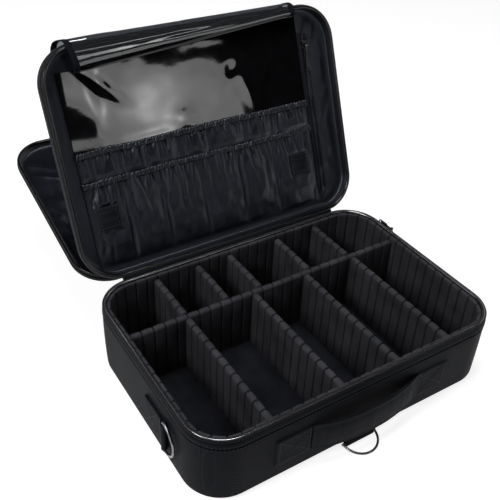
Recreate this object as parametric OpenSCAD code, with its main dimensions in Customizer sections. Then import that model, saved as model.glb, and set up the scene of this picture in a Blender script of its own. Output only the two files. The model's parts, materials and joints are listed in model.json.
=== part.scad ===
// Soft-sided makeup train case, standing open: a compartmented lower body, a
// brush leaf hinged to its rear rim, and an outer lid hinged to the leaf.
// Millimetres, +Z up. The origin is the middle of the face that the case
// stands on, -Y is the front and +X is the right-hand side.
// Leaf and lid pieces are drawn in a frame of their own: X along the hinge,
// Y away from the hinge, and Z towards the inside of the case.

/* [Case] */
// Outside width of the lower body
case_w = 400; // [350:5:460]
// Outside depth of the lower body
case_d = 275; // [240:5:320]
// Height of the fabric wall, below the zipper
wall_h = 87; // [75:1:120]
// Radius of the upright corners
corner_r = 46; // [36:1:60]
// Radius of the lower edge
base_edge_r = 6; // [4:0.5:9]
// Thickness of the outer fabric
fabric_t = 2; // [1.5:0.1:3]

/* [Lining] */
// Thickness of the stiff board in the base
base_board_t = 3; // [2:0.5:5]
// Thickness of the floor pad
floor_pad_t = 3; // [2:0.5:6]
// Thickness of the ribbed foam lining
liner_t = 8; // [5:0.5:12]

/* [Rims] */
// Radius of the piping bead on the body's rim
bead_r = 1.8; // [1.2:0.1:2.4]
// Distance from the outside to the middle of a bead
bead_inset = 3.2; // [3:0.1:4]
// Thickness of a zipper tape
tape_t = 0.9; // [0.6:0.1:1.2]
// Space between two closed rims
rim_gap = 1.5; // [1:0.1:2.5]

/* [Dividers] */
// Thickness of a divider
divider_t = 7; // [4:0.5:9]
// Distance from the top of the wall down to the dividers
divider_drop = 2; // [0:0.5:20]
// Place of the long divider, towards the rear
long_divider_y = 50; // [20:1:75]
// Places of the five rear dividers along the width
rear_divider_x = [-118, -61, -15, 58, 119]; // [-150:1:150]
// Places of the four front dividers along the width
front_divider_x = [-118, -28, 48, 122]; // [-150:1:150]

/* [Handle] */
// Width of the handle and tab webbing
strap_w = 38; // [30:1:45]
// Free length of the handle between its sewn ends
handle_span = 142; // [120:2:180]
// Distance that the handle stands out from the front
handle_reach = 11; // [10:1:24]
// Length of the padded grip
grip_len = 82; // [60:2:110]
// Thickness of the padded grip
grip_t = 7; // [5:0.5:9]
// Thickness of one layer of webbing
webbing_t = 1.5; // [1.2:0.1:2]
// Length of a sewn handle end
patch_len = 46; // [34:1:52]
// Height of the handle's middle
handle_z = 41; // [36:1:55]

/* [D-rings] */
// Radius of a ring's bend, to the middle of the wire
ring_r = 21.5; // [21:0.5:26]
// Radius of the ring's wire
wire_r = 1.4; // [1:0.1:2]
// Radius of the straight bar of a ring
bar_r = 1.6; // [1.2:0.1:2.2]
// Place of the front ring along the width
front_ring_x = -6; // [-30:1:30]
// Height of the side rings' middle
side_ring_z = 40; // [36:1:50]
// Place of the side rings' bars, towards the front
side_ring_y = -60; // [-64:1:-40]
// Length of a side tab
side_tab_len = 46; // [30:1:60]
// Height of the front tab
front_tab_h = 16; // [12:1:16]
// Tilt of the front ring towards the ground
front_ring_tilt = 6; // [0:1:6]

/* [Leaf] */
// How far the leaf stands in from the body's sides
leaf_inset = 3; // [2:0.5:6]
// Thickness of the leaf from rim to rim
leaf_t = 20; // [18:0.5:26]
// Depth from the leaf's front rim to its board
leaf_depth = 13.2; // [12.5:0.1:14]
// Thickness of the leaf's board
leaf_board_t = 3; // [2:0.5:3]
// Radius of the leaf and lid beads
small_bead_r = 1.6; // [1.2:0.1:1.8]
// Opening angle of the leaf, from closed
leaf_open = 112; // [100:1:122]

/* [Brush pockets] */
// Left edge of the pockets
pocket_left = -176; // [-180:1:-120]
// Right edge of the pockets
pocket_right = 148; // [100:1:148]
// Bottom of the lower pockets, from the hinge
pocket_bottom = 16; // [10:1:40]
// Top of the lower pockets, from the hinge
lower_pocket_top = 118; // [100:1:125]
// Top of the upper pockets, from the hinge
upper_pocket_top = 153; // [140:1:170]
// Thickness of the lower pockets
lower_pocket_t = 5; // [4:0.5:5.5]
// Thickness of the upper pockets
upper_pocket_t = 4; // [3:0.5:5.5]
// Width of a hook patch
hook_w = 26; // [20:1:32]
// Height of a hook patch
hook_h = 28; // [20:1:32]
// Middle of the hook patches, from the hinge
hook_s = 75; // [60:1:80]
// Places of the two hook patches along the width
hook_x = [-154, 121]; // [-160:1:130]

/* [Flap] */
// Places of the flap's two loop patches along the width
loop_x = [-136, 121]; // [-140:1:126]
// Left edge of the clear flap
flap_left = -156; // [-170:1:-120]
// Right edge of the clear flap
flap_right = 144; // [100:1:146]
// Distance from the leaf's far edge down to the flap's seam
flap_drop = 25.5; // [22:0.5:60]
// Length of the flap that hangs behind the leaf
flap_tail = 146; // [120:1:160]
// Thickness of the clear sheet
flap_t = 0.6; // [0.4:0.1:1]
// Width of the flap's bound edge
flap_hem = 7; // [4:0.5:9]

/* [Zipped pocket] */
// Place of the pocket's zipper along the width
pocket_zip_x = 157; // [157:1:165]
// Width of the zipper's tape
pocket_zip_w = 14; // [12:1:15]
// Lower end of the zipper, from the hinge
pocket_zip_low = 26; // [20:1:60]
// Distance from the leaf's far edge down to the zipper's upper end
pocket_zip_drop = 33.5; // [32:0.5:80]

/* [Sliders] */
// Length of a slider
slider_l = 9; // [7:0.5:12]
// Width of a slider
slider_w = 7; // [6:0.5:8]
// Height of a slider's body
slider_h = 3.4; // [3:0.1:4]
// Length of a rim zipper's pull
pull_l = 26; // [20:1:34]
// Length of the pocket zipper's pull
pocket_pull_l = 34; // [24:1:40]
// Width of a pull
pull_w = 6; // [5:0.5:7]
// Place of the body slider, from the middle of its side
main_slider_y = 66; // [40:1:80]
// Place of the lid slider, from the hinge
lid_slider_s = 66; // [60:1:120]
// Place of the pocket slider below the top of its zipper
pocket_slider_drop = 16; // [12:1:30]

/* [Lid] */
// How far the lid stands in from the body's sides
lid_inset = 2; // [2:0.5:6]
// Height of the lid from its rim to its outer face
lid_t = 13; // [10:0.5:20]
// Radius of the lid's outer edge
lid_edge_r = 5; // [3:0.5:7]
// Thickness of the lid's lining
lid_lining_t = 1.5; // [1:0.5:3]
// Opening angle of the lid, from closed
lid_open = 168; // [150:1:176]

/* [Hidden] */

$fn = 48;
seat = 0.3;                 // clearance between neighbouring pieces
running = 0.1;              // clearance of a pull's eye on its pin
hinge_out = 0.7;            // hinge line behind the rear wall
hinge_slack = 0.8;          // hinge line to the nearest wall of leaf or lid
hinge_tape_t = 0.8;         // thickness of the hinge tapes
hinge_tape_margin = 4;      // hinge tape to the start of the corners
hinge_tape_h = 14;          // height of the tape on the body's rear wall
hinge_nip = 0.2;            // each hinge tape ends this far from its hinge line

front_y = -case_d / 2;
rear_y = case_d / 2;
inner_w = case_w - 2 * (fabric_t + liner_t);
inner_d = case_d - 2 * (fabric_t + liner_t);
inner_r = corner_r - fabric_t - liner_t;
rim_z = wall_h + seat + 2 * bead_r;
board_play = 0.5;                         // base board and lid lining to the round edge
board_z = fabric_t + seat;
pad_z = board_z + base_board_t + seat;
floor_z = pad_z + floor_pad_t;
divider_z = floor_z + seat;
divider_h = wall_h - divider_drop - divider_z;

hinge_y = rear_y + hinge_out;
hinge_z = rim_z + rim_gap / 2;
rim_n = -rim_gap / 2;                     // plane of the leaf's front rim
wall_s = hinge_out + hinge_slack;         // leaf and lid start beyond the hinge
leaf_w = case_w - 2 * leaf_inset;
leaf_short = 1;                           // leaf is shallower than the body by this
leaf_d = case_d - leaf_short;
leaf_end = wall_s + leaf_d;               // leaf's far edge, from the hinge
leaf_r = corner_r - leaf_short;
leaf_wall_t = 2;
board_n = rim_n - leaf_depth;             // inner face of the leaf's board
back_n = rim_n - leaf_t;                  // plane of the leaf's rear rim
backing_t = 0.6;
thin_tape_t = 0.7 * tape_t;               // tapes of leaf and lid
backing_n = board_n + seat;
backing_tuck = 4;                         // backing runs on beyond the flap's seam
pocket_n = backing_n + backing_t + seat;
pocket_zip_high = leaf_end - pocket_zip_drop;
small_bead_inset = 2.4;
hinge_tape_l = case_w - 2 * (corner_r + hinge_tape_margin);

lid_axis_n = back_n - rim_gap / 2;        // lid's hinge line in the leaf's frame
lid_w = case_w - 2 * lid_inset;
lid_over = 2;                             // lid is deeper than the body by this
lid_d = case_d + lid_over;
lid_r = corner_r;
lid_face_n = rim_n - lid_t;               // lid's outer face in the lid's frame
lid_wall_t = 2;

tab_gap = 0.25;                           // wall to the webbing of a tab
tab_round = 0.2;                          // tab's loop stands this far off the wall
bar_over = 0.2;                           // straight bar runs past the bend's wire
bar_off = bar_r + seat + webbing_t + 2 * tab_round; // wall to a ring's bar
front_ring_z = bar_off + tab_round;
patch_y = front_y - seat - webbing_t;     // outer face of the sewn handle ends
handle_r = (pow(handle_span / 2, 2) + pow(handle_reach, 2)) / (2 * handle_reach);
handle_end = asin(handle_span / 2 / handle_r);
grip_angle = asin(grip_len / 2 / handle_r);
run_gap = atan(0.6 / handle_r);           // angle between grip and webbing
run_t = 2 * webbing_t;

pin_r = 1.2;
slider_drop = 1;                          // rim to the edge of a rim slider
pin_lift = 2.3;                           // slider's top to the middle of its pin
pin_z = slider_h + pin_lift;
ear_t = 0.8;
ear_l = 3.2;                              // length of an ear along the travel
ear_rim = 0.8;                            // ear round its pin
ear_play = 0.2;                           // pull's eye to each ear
ear_root = 0.2;                           // ears start below the slider's top
eye_w = 3.4;
eye_rim = 0.9;                            // eye round the pin
pull_rim = 1.4;                           // rim of the hole in a pull's end
pull_t = 1.2;

seam_hem = 3;
hem_t = 1.2;
loop_t = 1.2;
flap_lift = 4.7;                          // board to the flap at its seam
fold_over = 1.5;                          // fold lines beyond the leaf's edge
flap_seam = leaf_end - flap_drop;
flap_seam_n = board_n + flap_lift;
fold_s = leaf_end + fold_over;
// The flap rises from its seam so that it just clears the leaf's far bead
bead_ahead = leaf_end - small_bead_inset - flap_seam;
bead_above = rim_n - small_bead_r - flap_seam_n;
bead_clear = small_bead_r + hem_t / 2 + seat;
flap_angle = atan2(bead_above, bead_ahead) + asin(bead_clear / norm([bead_ahead, bead_above]));
flap_rise = (fold_s - flap_seam) * tan(flap_angle);
fold_front_n = flap_seam_n + flap_rise;
fold_rear_n = back_n - seat - flap_t;
flap_w = flap_right - flap_left;
front_len = norm([fold_s - flap_seam, flap_rise]);
bridge_len = fold_front_n - fold_rear_n;
end_trim = seat / 2;
front_trim = end_trim + hem_t / 2 * tan((90 + flap_angle) / 2);   // at the front fold
rear_trim = end_trim + hem_t / 2;                                 // at the rear fold

fabric = "#1b1c20";
webbing = "#17181b";
ribbed = "#35353a";
satin = "#23252c";
gloss = "#0c0c0e";
metal = "#6a6c70";
clear_sheet = "#5a5d64";

// ---- building blocks ------------------------------------------------------

module rounded_rect(w, d, r) {
    square([w - 2 * r, d], center = true);
    square([w, d - 2 * r], center = true);
    for (x = [-1, 1], y = [-1, 1])
        translate([x * (w / 2 - r), y * (d / 2 - r)]) circle(r);
}

module plate(w, d, r, h) {
    linear_extrude(h) rounded_rect(w, d, r);
}

module ring_wall(w, d, r, t, h) {
    linear_extrude(h) difference() {
        rounded_rect(w, d, r);
        rounded_rect(w - 2 * t, d - 2 * t, r - t);
    }
}

// Solid with upright corners of radius r and a lower edge of radius e
module tub(w, d, r, h, e) {
    translate([0, 0, e]) plate(w, d, r, h - e);
    plate(w - 2 * e, d - 2 * e, r - e, e + 1);
    for (side = [-1, 1]) {
        translate([0, side * (d / 2 - e), e])
            rotate([0, 90, 0]) cylinder(h = w - 2 * r, r = e, center = true);
        translate([side * (w / 2 - e), 0, e])
            rotate([90, 0, 0]) cylinder(h = d - 2 * r, r = e, center = true);
    }
    for (x = [-1, 1], y = [-1, 1])
        translate([x * (w / 2 - r), y * (d / 2 - r), e])
            rotate_extrude() translate([r - e, 0]) intersection() {
                circle(e);
                translate([0, -e]) square([e, 2 * e]);
            }
}

// Round cord laid along a rounded rectangle
module bead(w, d, r, cord_r) {
    for (side = [-1, 1]) {
        translate([0, side * d / 2, 0])
            rotate([0, 90, 0]) cylinder(h = w - 2 * r, r = cord_r, center = true);
        translate([side * w / 2, 0, 0])
            rotate([90, 0, 0]) cylinder(h = d - 2 * r, r = cord_r, center = true);
    }
    for (corner = [0:3])
        translate([(corner == 0 || corner == 3 ? 1 : -1) * (w / 2 - r),
            (corner < 2 ? 1 : -1) * (d / 2 - r), 0])
            rotate(corner * 90) rotate_extrude(angle = 90) translate([r, 0]) circle(cord_r);
}

// Frame of the leaf, and of the lid, at the angles at which they stand
module in_leaf() {
    translate([0, hinge_y, hinge_z]) rotate([180 - leaf_open, 0, 0]) children();
}

module in_lid() {
    in_leaf() translate([0, 0, lid_axis_n]) rotate([leaf_open - lid_open, 0, 0]) children();
}

// Middle of the leaf's, or the lid's, outline
module leaf_middle(n) {
    translate([0, wall_s + leaf_d / 2, n]) children();
}

module lid_middle(n) {
    translate([0, wall_s + lid_d / 2, n]) children();
}

// ---- lower body -----------------------------------------------------------

module body_shell() {
    color(fabric) difference() {
        tub(case_w, case_d, corner_r, wall_h, base_edge_r);
        translate([0, 0, fabric_t])
            tub(case_w - 2 * fabric_t, case_d - 2 * fabric_t, corner_r - fabric_t,
                wall_h, base_edge_r - fabric_t);
    }
}

module base_board() {
    color(gloss) translate([0, 0, board_z])
        plate(case_w - 2 * (base_edge_r + board_play), case_d - 2 * (base_edge_r + board_play),
            corner_r - base_edge_r, base_board_t);
}

module floor_pad() {
    color(satin) translate([0, 0, pad_z])
        plate(inner_w - 2 * seat, inner_d - 2 * seat, inner_r - seat, floor_pad_t);
}

module body_liner() {
    color(ribbed) translate([0, 0, pad_z])
        ring_wall(case_w - 2 * (fabric_t + seat), case_d - 2 * (fabric_t + seat),
            corner_r - fabric_t - seat, liner_t - seat, wall_h - pad_z);
}

module body_piping() {
    color(gloss) translate([0, 0, wall_h + seat + bead_r])
        bead(case_w - 2 * bead_inset, case_d - 2 * bead_inset,
            corner_r - bead_inset, bead_r);
}

module body_zip_tape() {
    color(webbing) translate([0, 0, wall_h + seat])
        ring_wall(case_w - 2 * seat, case_d - 2 * seat, corner_r - seat, tape_t,
            2 * bead_r);
}

module body_hinge_tape() {
    color(webbing) translate([-hinge_tape_l / 2, rear_y + 0.2,
        hinge_z - hinge_nip - hinge_tape_h]) cube([hinge_tape_l, hinge_tape_t, hinge_tape_h]);
}

// ---- handle and rings -----------------------------------------------------

module handle_end(side) {
    color(webbing)
        translate([side * (handle_span + patch_len) / 2, patch_y + webbing_t / 2, handle_z])
        cube([patch_len, webbing_t, strap_w], center = true);
}

// Stretch of the handle's arc, in degrees from the middle of the handle
module handle_arc(from, to, t) {
    translate([0, patch_y - handle_reach + handle_r, handle_z - strap_w / 2])
        rotate(from - 90) rotate_extrude(angle = to - from)
        translate([handle_r - t / 2, 0]) square([t, strap_w]);
}

module handle_run(side) {
    color(webbing)
        handle_arc(side > 0 ? grip_angle + run_gap : -handle_end,
            side > 0 ? handle_end : -grip_angle - run_gap, run_t);
}

module handle_grip() {
    color(webbing) handle_arc(-grip_angle, grip_angle, grip_t);
}

// Ring with its bar along X and its bend towards -Y
module d_ring() {
    color(metal) {
        rotate(180) rotate_extrude(angle = 180) translate([ring_r, 0]) circle(wire_r);
        rotate([0, 90, 0])
            cylinder(h = 2 * (ring_r + wire_r + bar_over), r = bar_r, center = true);
    }
}

// Webbing loop round a ring's bar, with its sewn end towards +Y
module ring_tab(len) {
    color(webbing) difference() {
        union() {
            rotate([0, 90, 0])
                cylinder(h = strap_w, r = bar_off - tab_round, center = true);
            translate([-strap_w / 2, 0, tab_gap - bar_off])
                cube([strap_w, len, webbing_t]);
        }
        rotate([0, 90, 0])
            cylinder(h = strap_w + 2, r = bar_r + seat, center = true);
    }
}

module at_side_ring(side) {
    translate([side * (case_w / 2 + bar_off), side_ring_y, side_ring_z])
        rotate([0, side * 90, 0]) children();
}

module at_front_ring() {
    translate([front_ring_x, front_y - bar_off, front_ring_z]) children();
}

// ---- dividers -------------------------------------------------------------

// Upright divider of length len along X, with a rounded top
module divider(len) {
    color(ribbed) rotate([90, 0, 90]) translate([0, 0, -len / 2]) linear_extrude(len) {
        translate([-divider_t / 2, 0]) square([divider_t, divider_h - divider_t / 2]);
        translate([0, divider_h - divider_t / 2]) circle(divider_t / 2);
    }
}

module divider_long() {
    translate([0, long_divider_y, divider_z]) divider(inner_w - 2 * seat);
}

module short_divider(x, y_low, y_high) {
    translate([x, (y_low + y_high) / 2, divider_z])
        rotate(90) divider(y_high - y_low - 2 * seat);
}

module divider_rear(i) {
    short_divider(rear_divider_x[i], long_divider_y + divider_t / 2, inner_d / 2);
}

module divider_front(i) {
    short_divider(front_divider_x[i], -inner_d / 2, long_divider_y - divider_t / 2);
}

// ---- sliders: travel along X, outwards along Z ----------------------------

module slider() {
    color(metal) {
        translate([-slider_l / 2, -slider_w / 2, seat])
            cube([slider_l, slider_w, slider_h - seat]);
        for (side = [-1, 1])
            translate([-ear_l / 2, side * (eye_w + ear_t + 2 * ear_play) / 2 - ear_t / 2,
                slider_h - ear_root])
                cube([ear_l, ear_t, pin_z + pin_r + ear_rim - slider_h]);
        translate([0, 0, pin_z]) rotate([90, 0, 0])
            cylinder(h = eye_w + 2 * ear_t, r = pin_r, center = true);
    }
}

module pull(len) {
    color(metal) translate([0, 0, pin_z]) difference() {
        union() {
            rotate([90, 0, 0]) cylinder(h = eye_w, r = pin_r + eye_rim, center = true);
            translate([-len + pull_w / 2, -eye_w / 2, -pull_t / 2])
                cube([len - pull_w / 2, eye_w, pull_t]);
            translate([-len + pull_w / 2, -pull_w / 2, -pull_t / 2])
                cube([len / 2, pull_w, pull_t]);
            translate([-len + pull_w / 2, 0, -pull_t / 2])
                cylinder(h = pull_t, r = pull_w / 2);
        }
        rotate([90, 0, 0]) cylinder(h = eye_w + 2, r = pin_r + running, center = true);
        translate([-len + pull_w / 2, 0, -pull_t])
            cylinder(h = 2 * pull_t, r = pull_w / 2 - pull_rim);
    }
}

module at_main_slider() {
    translate([case_w / 2, main_slider_y, rim_z - slider_w / 2 - slider_drop])
        rotate([-90, 0, 0]) rotate([0, 90, 0]) children();
}

module at_lid_slider() {
    in_leaf() translate([leaf_w / 2, lid_slider_s, back_n + slider_w / 2 + slider_drop])
        rotate([90, 0, 90]) children();
}

module at_pocket_slider() {
    in_leaf() translate([pocket_zip_x, pocket_zip_high - pocket_slider_drop,
        backing_n + tape_t]) rotate(90) children();
}

// ---- brush leaf -----------------------------------------------------------

module leaf_wall() {
    bead_room = 2 * small_bead_r + seat;
    color(fabric) in_leaf() leaf_middle(back_n + bead_room)
        ring_wall(leaf_w, leaf_d, leaf_r, leaf_wall_t, leaf_t - 2 * bead_room);
}

module leaf_board() {
    inset = leaf_wall_t + seat;
    color(satin) in_leaf() leaf_middle(board_n - leaf_board_t)
        plate(leaf_w - 2 * inset, leaf_d - 2 * inset, leaf_r - inset, leaf_board_t);
}

module leaf_bead(n) {
    color(gloss) in_leaf() leaf_middle(n)
        bead(leaf_w - 2 * small_bead_inset, leaf_d - 2 * small_bead_inset,
            leaf_r - small_bead_inset, small_bead_r);
}

module leaf_zip_tapes() {
    tape_w = 2 * small_bead_r;
    color(webbing) in_leaf() for (n = [rim_n - tape_w, back_n])
        leaf_middle(n) ring_wall(leaf_w, leaf_d, leaf_r, thin_tape_t, tape_w);
}

module leaf_hinge_tape() {
    low = lid_axis_n + hinge_nip;
    color(webbing) in_leaf()
        translate([-hinge_tape_l / 2, wall_s - seat - hinge_tape_t, low])
        cube([hinge_tape_l, hinge_tape_t, -hinge_nip - low]);
}

module leaf_backing() {
    color(gloss) in_leaf() translate([pocket_left, upper_pocket_top, backing_n])
        cube([pocket_right - pocket_left, flap_seam + backing_tuck - upper_pocket_top, backing_t]);
}

module pocket_row(low, high, t) {
    color(satin) in_leaf() translate([pocket_left, low, pocket_n])
        cube([pocket_right - pocket_left, high - low, t]);
}

module pocket_lower() {
    pocket_row(pocket_bottom, lower_pocket_top, lower_pocket_t);
}

module pocket_upper() {
    pocket_row(lower_pocket_top + seat, upper_pocket_top - seat, upper_pocket_t);
}

module hook_patches() {
    color(webbing) in_leaf() for (x = hook_x)
        translate([x - hook_w / 2, hook_s - hook_h / 2, pocket_n + lower_pocket_t + seat])
            cube([hook_w, hook_h, loop_t]);
}

module pocket_zip_tape() {
    color(webbing) in_leaf()
        translate([pocket_zip_x - pocket_zip_w / 2, pocket_zip_low, backing_n])
        cube([pocket_zip_w, pocket_zip_high - pocket_zip_low, tape_t]);
}

// ---- clear flap, folded over the leaf's far edge --------------------------

// Frame of one stretch of the flap, with Y along it from (s0, n0) to (s1, n1)
module at_flap(s0, n0, s1, n1) {
    in_leaf() translate([0, s0, n0]) rotate([atan2(n1 - n0, s1 - s0), 0, 0]) children();
}

module at_flap_front() {
    at_flap(flap_seam, flap_seam_n, fold_s, fold_front_n) children();
}

module at_flap_bridge() {
    at_flap(fold_s, fold_front_n, fold_s, fold_rear_n) children();
}

module at_flap_rear() {
    at_flap(fold_s, fold_rear_n, fold_s - flap_tail, fold_rear_n) children();
}

// Clear sheet between its bound edges, stopping short of its ends
module clear_panel(len, low, high) {
    color(clear_sheet) translate([flap_left + flap_hem, low, -flap_t / 2])
        cube([flap_w - 2 * flap_hem, len - low - high, flap_t]);
}

module side_bindings(len, low, high) {
    color(gloss) for (x = [flap_left, flap_right - flap_hem])
        translate([x, low, -hem_t / 2]) cube([flap_hem, len - low - high, hem_t]);
}

module cross_binding(at, w) {
    color(gloss) translate([flap_left, at, -hem_t / 2]) cube([flap_w, w, hem_t]);
}

module flap_front() {
    at_flap_front() clear_panel(front_len, end_trim + seam_hem, front_trim);
}

module flap_bridge() {
    at_flap_bridge() clear_panel(bridge_len, front_trim, rear_trim);
}

module flap_rear() {
    at_flap_rear() clear_panel(flap_tail, rear_trim, end_trim + flap_hem);
}

module flap_binding_front() {
    at_flap_front() {
        side_bindings(front_len, end_trim, front_trim);
        cross_binding(end_trim, seam_hem);
    }
}

module flap_binding_bridge() {
    at_flap_bridge() side_bindings(bridge_len, front_trim, rear_trim);
}

module flap_binding_rear() {
    at_flap_rear() {
        side_bindings(flap_tail, rear_trim, end_trim);
        cross_binding(flap_tail - end_trim - flap_hem, flap_hem);
    }
}

module flap_loop_patches() {
    color(webbing) at_flap_rear() for (x = loop_x)
        translate([x - hook_w / 2, flap_tail - hook_h - flap_hem - 1, (flap_t + seat) / 2])
            cube([hook_w, hook_h, loop_t]);
}

module flap_welt() {
    low = backing_n + backing_t + seat;
    color(gloss) in_leaf() translate([flap_left, flap_seam + 2 * seat, low])
        cube([flap_w, seam_hem, flap_seam_n - hem_t / 2 - seat - low]);
}

// ---- lid --------------------------------------------------------------------

module lid_shell() {
    height = lid_t - 2 * small_bead_r - seat;
    color(fabric) in_lid() lid_middle(lid_face_n) difference() {
        tub(lid_w, lid_d, lid_r, height, lid_edge_r);
        translate([0, 0, lid_wall_t])
            tub(lid_w - 2 * lid_wall_t, lid_d - 2 * lid_wall_t, lid_r - lid_wall_t,
                height, lid_edge_r - lid_wall_t);
    }
}

module lid_lining() {
    color(satin) in_lid() lid_middle(lid_face_n + lid_wall_t + seat)
        plate(lid_w - 2 * (lid_edge_r + board_play), lid_d - 2 * (lid_edge_r + board_play),
            lid_r - lid_edge_r, lid_lining_t);
}

module lid_piping() {
    color(gloss) in_lid() lid_middle(rim_n - small_bead_r)
        bead(lid_w - 2 * small_bead_inset, lid_d - 2 * small_bead_inset,
            lid_r - small_bead_inset, small_bead_r);
}

module lid_zip_tape() {
    color(webbing) in_lid() lid_middle(rim_n - 2 * small_bead_r)
        ring_wall(lid_w, lid_d, lid_r, thin_tape_t, 2 * small_bead_r);
}

module lid_hinge_tape() {
    low = lid_face_n + lid_edge_r;
    color(webbing) in_lid()
        translate([-hinge_tape_l / 2, wall_s - seat - hinge_tape_t, low])
        cube([hinge_tape_l, hinge_tape_t, -hinge_nip - low]);
}

// ---- pieces -------------------------------------------------------------------

body_shell();
base_board();
floor_pad();
body_liner();
body_piping();
body_zip_tape();
body_hinge_tape();
handle_end(-1);  // handle_end_left
handle_end(1);  // handle_end_right
handle_run(-1);  // handle_run_left
handle_run(1);  // handle_run_right
handle_grip();
at_side_ring(-1) ring_tab(side_tab_len);  // ring_tab_left
at_side_ring(1) ring_tab(side_tab_len);  // ring_tab_right
at_front_ring() rotate([90, 0, 0]) ring_tab(front_tab_h);  // ring_tab_front
at_side_ring(-1) d_ring();  // d_ring_left
at_side_ring(1) d_ring();  // d_ring_right
at_front_ring() rotate([front_ring_tilt, 0, 0]) d_ring();  // d_ring_front
divider_long();
divider_rear(0);  // divider_rear_1
divider_rear(1);  // divider_rear_2
divider_rear(2);  // divider_rear_3
divider_rear(3);  // divider_rear_4
divider_rear(4);  // divider_rear_5
divider_front(0);  // divider_front_1
divider_front(1);  // divider_front_2
divider_front(2);  // divider_front_3
divider_front(3);  // divider_front_4
at_main_slider() slider();  // main_slider
at_main_slider() pull(pull_l);  // main_pull
leaf_wall();
leaf_board();
leaf_bead(rim_n - small_bead_r);  // leaf_front_piping
leaf_bead(back_n + small_bead_r);  // leaf_rear_piping
leaf_zip_tapes();
leaf_hinge_tape();
leaf_backing();
pocket_upper();
pocket_lower();
hook_patches();
pocket_zip_tape();
at_pocket_slider() slider();  // pocket_slider
at_pocket_slider() pull(pocket_pull_l);  // pocket_pull
flap_front();
flap_bridge();
flap_rear();
flap_binding_front();
flap_binding_bridge();
flap_binding_rear();
flap_loop_patches();
flap_welt();
lid_shell();
lid_lining();
lid_piping();
lid_zip_tape();
lid_hinge_tape();
at_lid_slider() slider();  // lid_slider
at_lid_slider() pull(pull_l);  // lid_pull
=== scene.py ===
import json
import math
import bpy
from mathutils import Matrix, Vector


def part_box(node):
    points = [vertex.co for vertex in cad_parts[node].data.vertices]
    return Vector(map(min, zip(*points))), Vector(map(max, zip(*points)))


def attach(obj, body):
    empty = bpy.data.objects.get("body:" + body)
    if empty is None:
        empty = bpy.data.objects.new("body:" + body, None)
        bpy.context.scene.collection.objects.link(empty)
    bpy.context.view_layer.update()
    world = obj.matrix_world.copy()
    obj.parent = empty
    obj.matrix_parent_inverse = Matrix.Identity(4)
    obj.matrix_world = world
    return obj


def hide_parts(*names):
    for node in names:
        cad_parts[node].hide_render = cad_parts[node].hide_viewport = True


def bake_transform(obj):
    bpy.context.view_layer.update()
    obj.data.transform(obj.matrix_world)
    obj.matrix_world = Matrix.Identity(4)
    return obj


bl_info = {
    "name": "Makeup Train Case",
    "version": (1, 0, 0),
    "blender": (4, 5, 0),
    "location": "View3D > Sidebar > Train Case",
    "description": "Dresses the packed train case in fabric, ribbed foam, satin pockets and stitching",
    "category": "Object",
}

import bmesh
import bpy
import numpy as np
from mathutils import Matrix, Vector

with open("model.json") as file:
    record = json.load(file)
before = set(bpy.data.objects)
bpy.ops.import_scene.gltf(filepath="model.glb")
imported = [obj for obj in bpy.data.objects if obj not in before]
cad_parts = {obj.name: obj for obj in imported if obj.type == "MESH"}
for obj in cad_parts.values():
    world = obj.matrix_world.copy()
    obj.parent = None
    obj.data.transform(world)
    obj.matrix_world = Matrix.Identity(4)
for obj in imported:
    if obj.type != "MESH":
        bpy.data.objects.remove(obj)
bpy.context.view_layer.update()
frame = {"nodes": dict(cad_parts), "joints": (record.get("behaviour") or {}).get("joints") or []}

# ---- sizes from the frame, in millimetres ----------------------------

MM = 1000.0
JOINTS = {joint["name"]: joint for joint in frame["joints"]}


def low(node):
    return np.array(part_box(node)[0]) * MM


def high(node):
    return np.array(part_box(node)[1]) * MM


def joint_at(name):
    return np.array(JOINTS[name]["pos_m"]) * MM


CASE_W = 2 * high("body_shell")[0]
CASE_D = 2 * high("body_shell")[1]
WALL_TOP = high("body_shell")[2]
RIM_TOP = high("body_piping")[2]
FLOOR_TOP = high("floor_pad")[2]
CORNER = 46.0
LINER = 10.0                       # outside of the case to the face of the liner
LEAF_W = high("leaf_wall")[0] * 2
LEAF_D = CASE_D - 1
LEAF_R = 45.0
LID_W = high("lid_shell")[0] * 2
LID_D = CASE_D + 2
LID_R = 46.0
HINGE_GAP = 1.5                    # hinge line to the wall of leaf and lid
LEAF_OPEN = -JOINTS["leaf_hinge"]["range_deg"][0]
LID_OPEN = LEAF_OPEN - JOINTS["lid_hinge"]["range_deg"][0]
LEAF_T = 20.0
RIM_N = -0.75                      # planes of the leaf, measured from its hinge line
BACK_N = RIM_N - LEAF_T
BOARD_N = RIM_N - 13.2
BACKING_N = BOARD_N + 0.3
POCKET_N = BACKING_N + 0.9
LID_FACE_N = RIM_N - 13.0
LID_LINING_N = LID_FACE_N + 3.8
SEAM_S = 250.0                     # the flap's seam, from the hinge


def turned(origin, opened):
    """Frame of a hinged panel: rows are X, away from the hinge, and into the case."""
    a = math.radians(opened)
    axes = np.array([(1, 0, 0), (0, -math.cos(a), math.sin(a)), (0, -math.sin(a), -math.cos(a))])
    return axes, np.array(origin, float)


WORLD = (np.eye(3), np.zeros(3))
LEAF = turned(joint_at("leaf_hinge"), LEAF_OPEN)
LID = turned(joint_at("lid_hinge"), LID_OPEN)


def placed(points, where):
    axes, origin = where
    return np.asarray(points, float).reshape(-1, 3) @ axes + origin


# ---- properties ------------------------------------------------------


def length(name, description, default):
    return bpy.props.FloatProperty(name=name, description=description, default=default, unit="LENGTH")


def colour(name, description, default):
    return bpy.props.FloatVectorProperty(
        name=name, description=description, default=default, size=3, subtype="COLOR", min=0, max=1)


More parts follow.
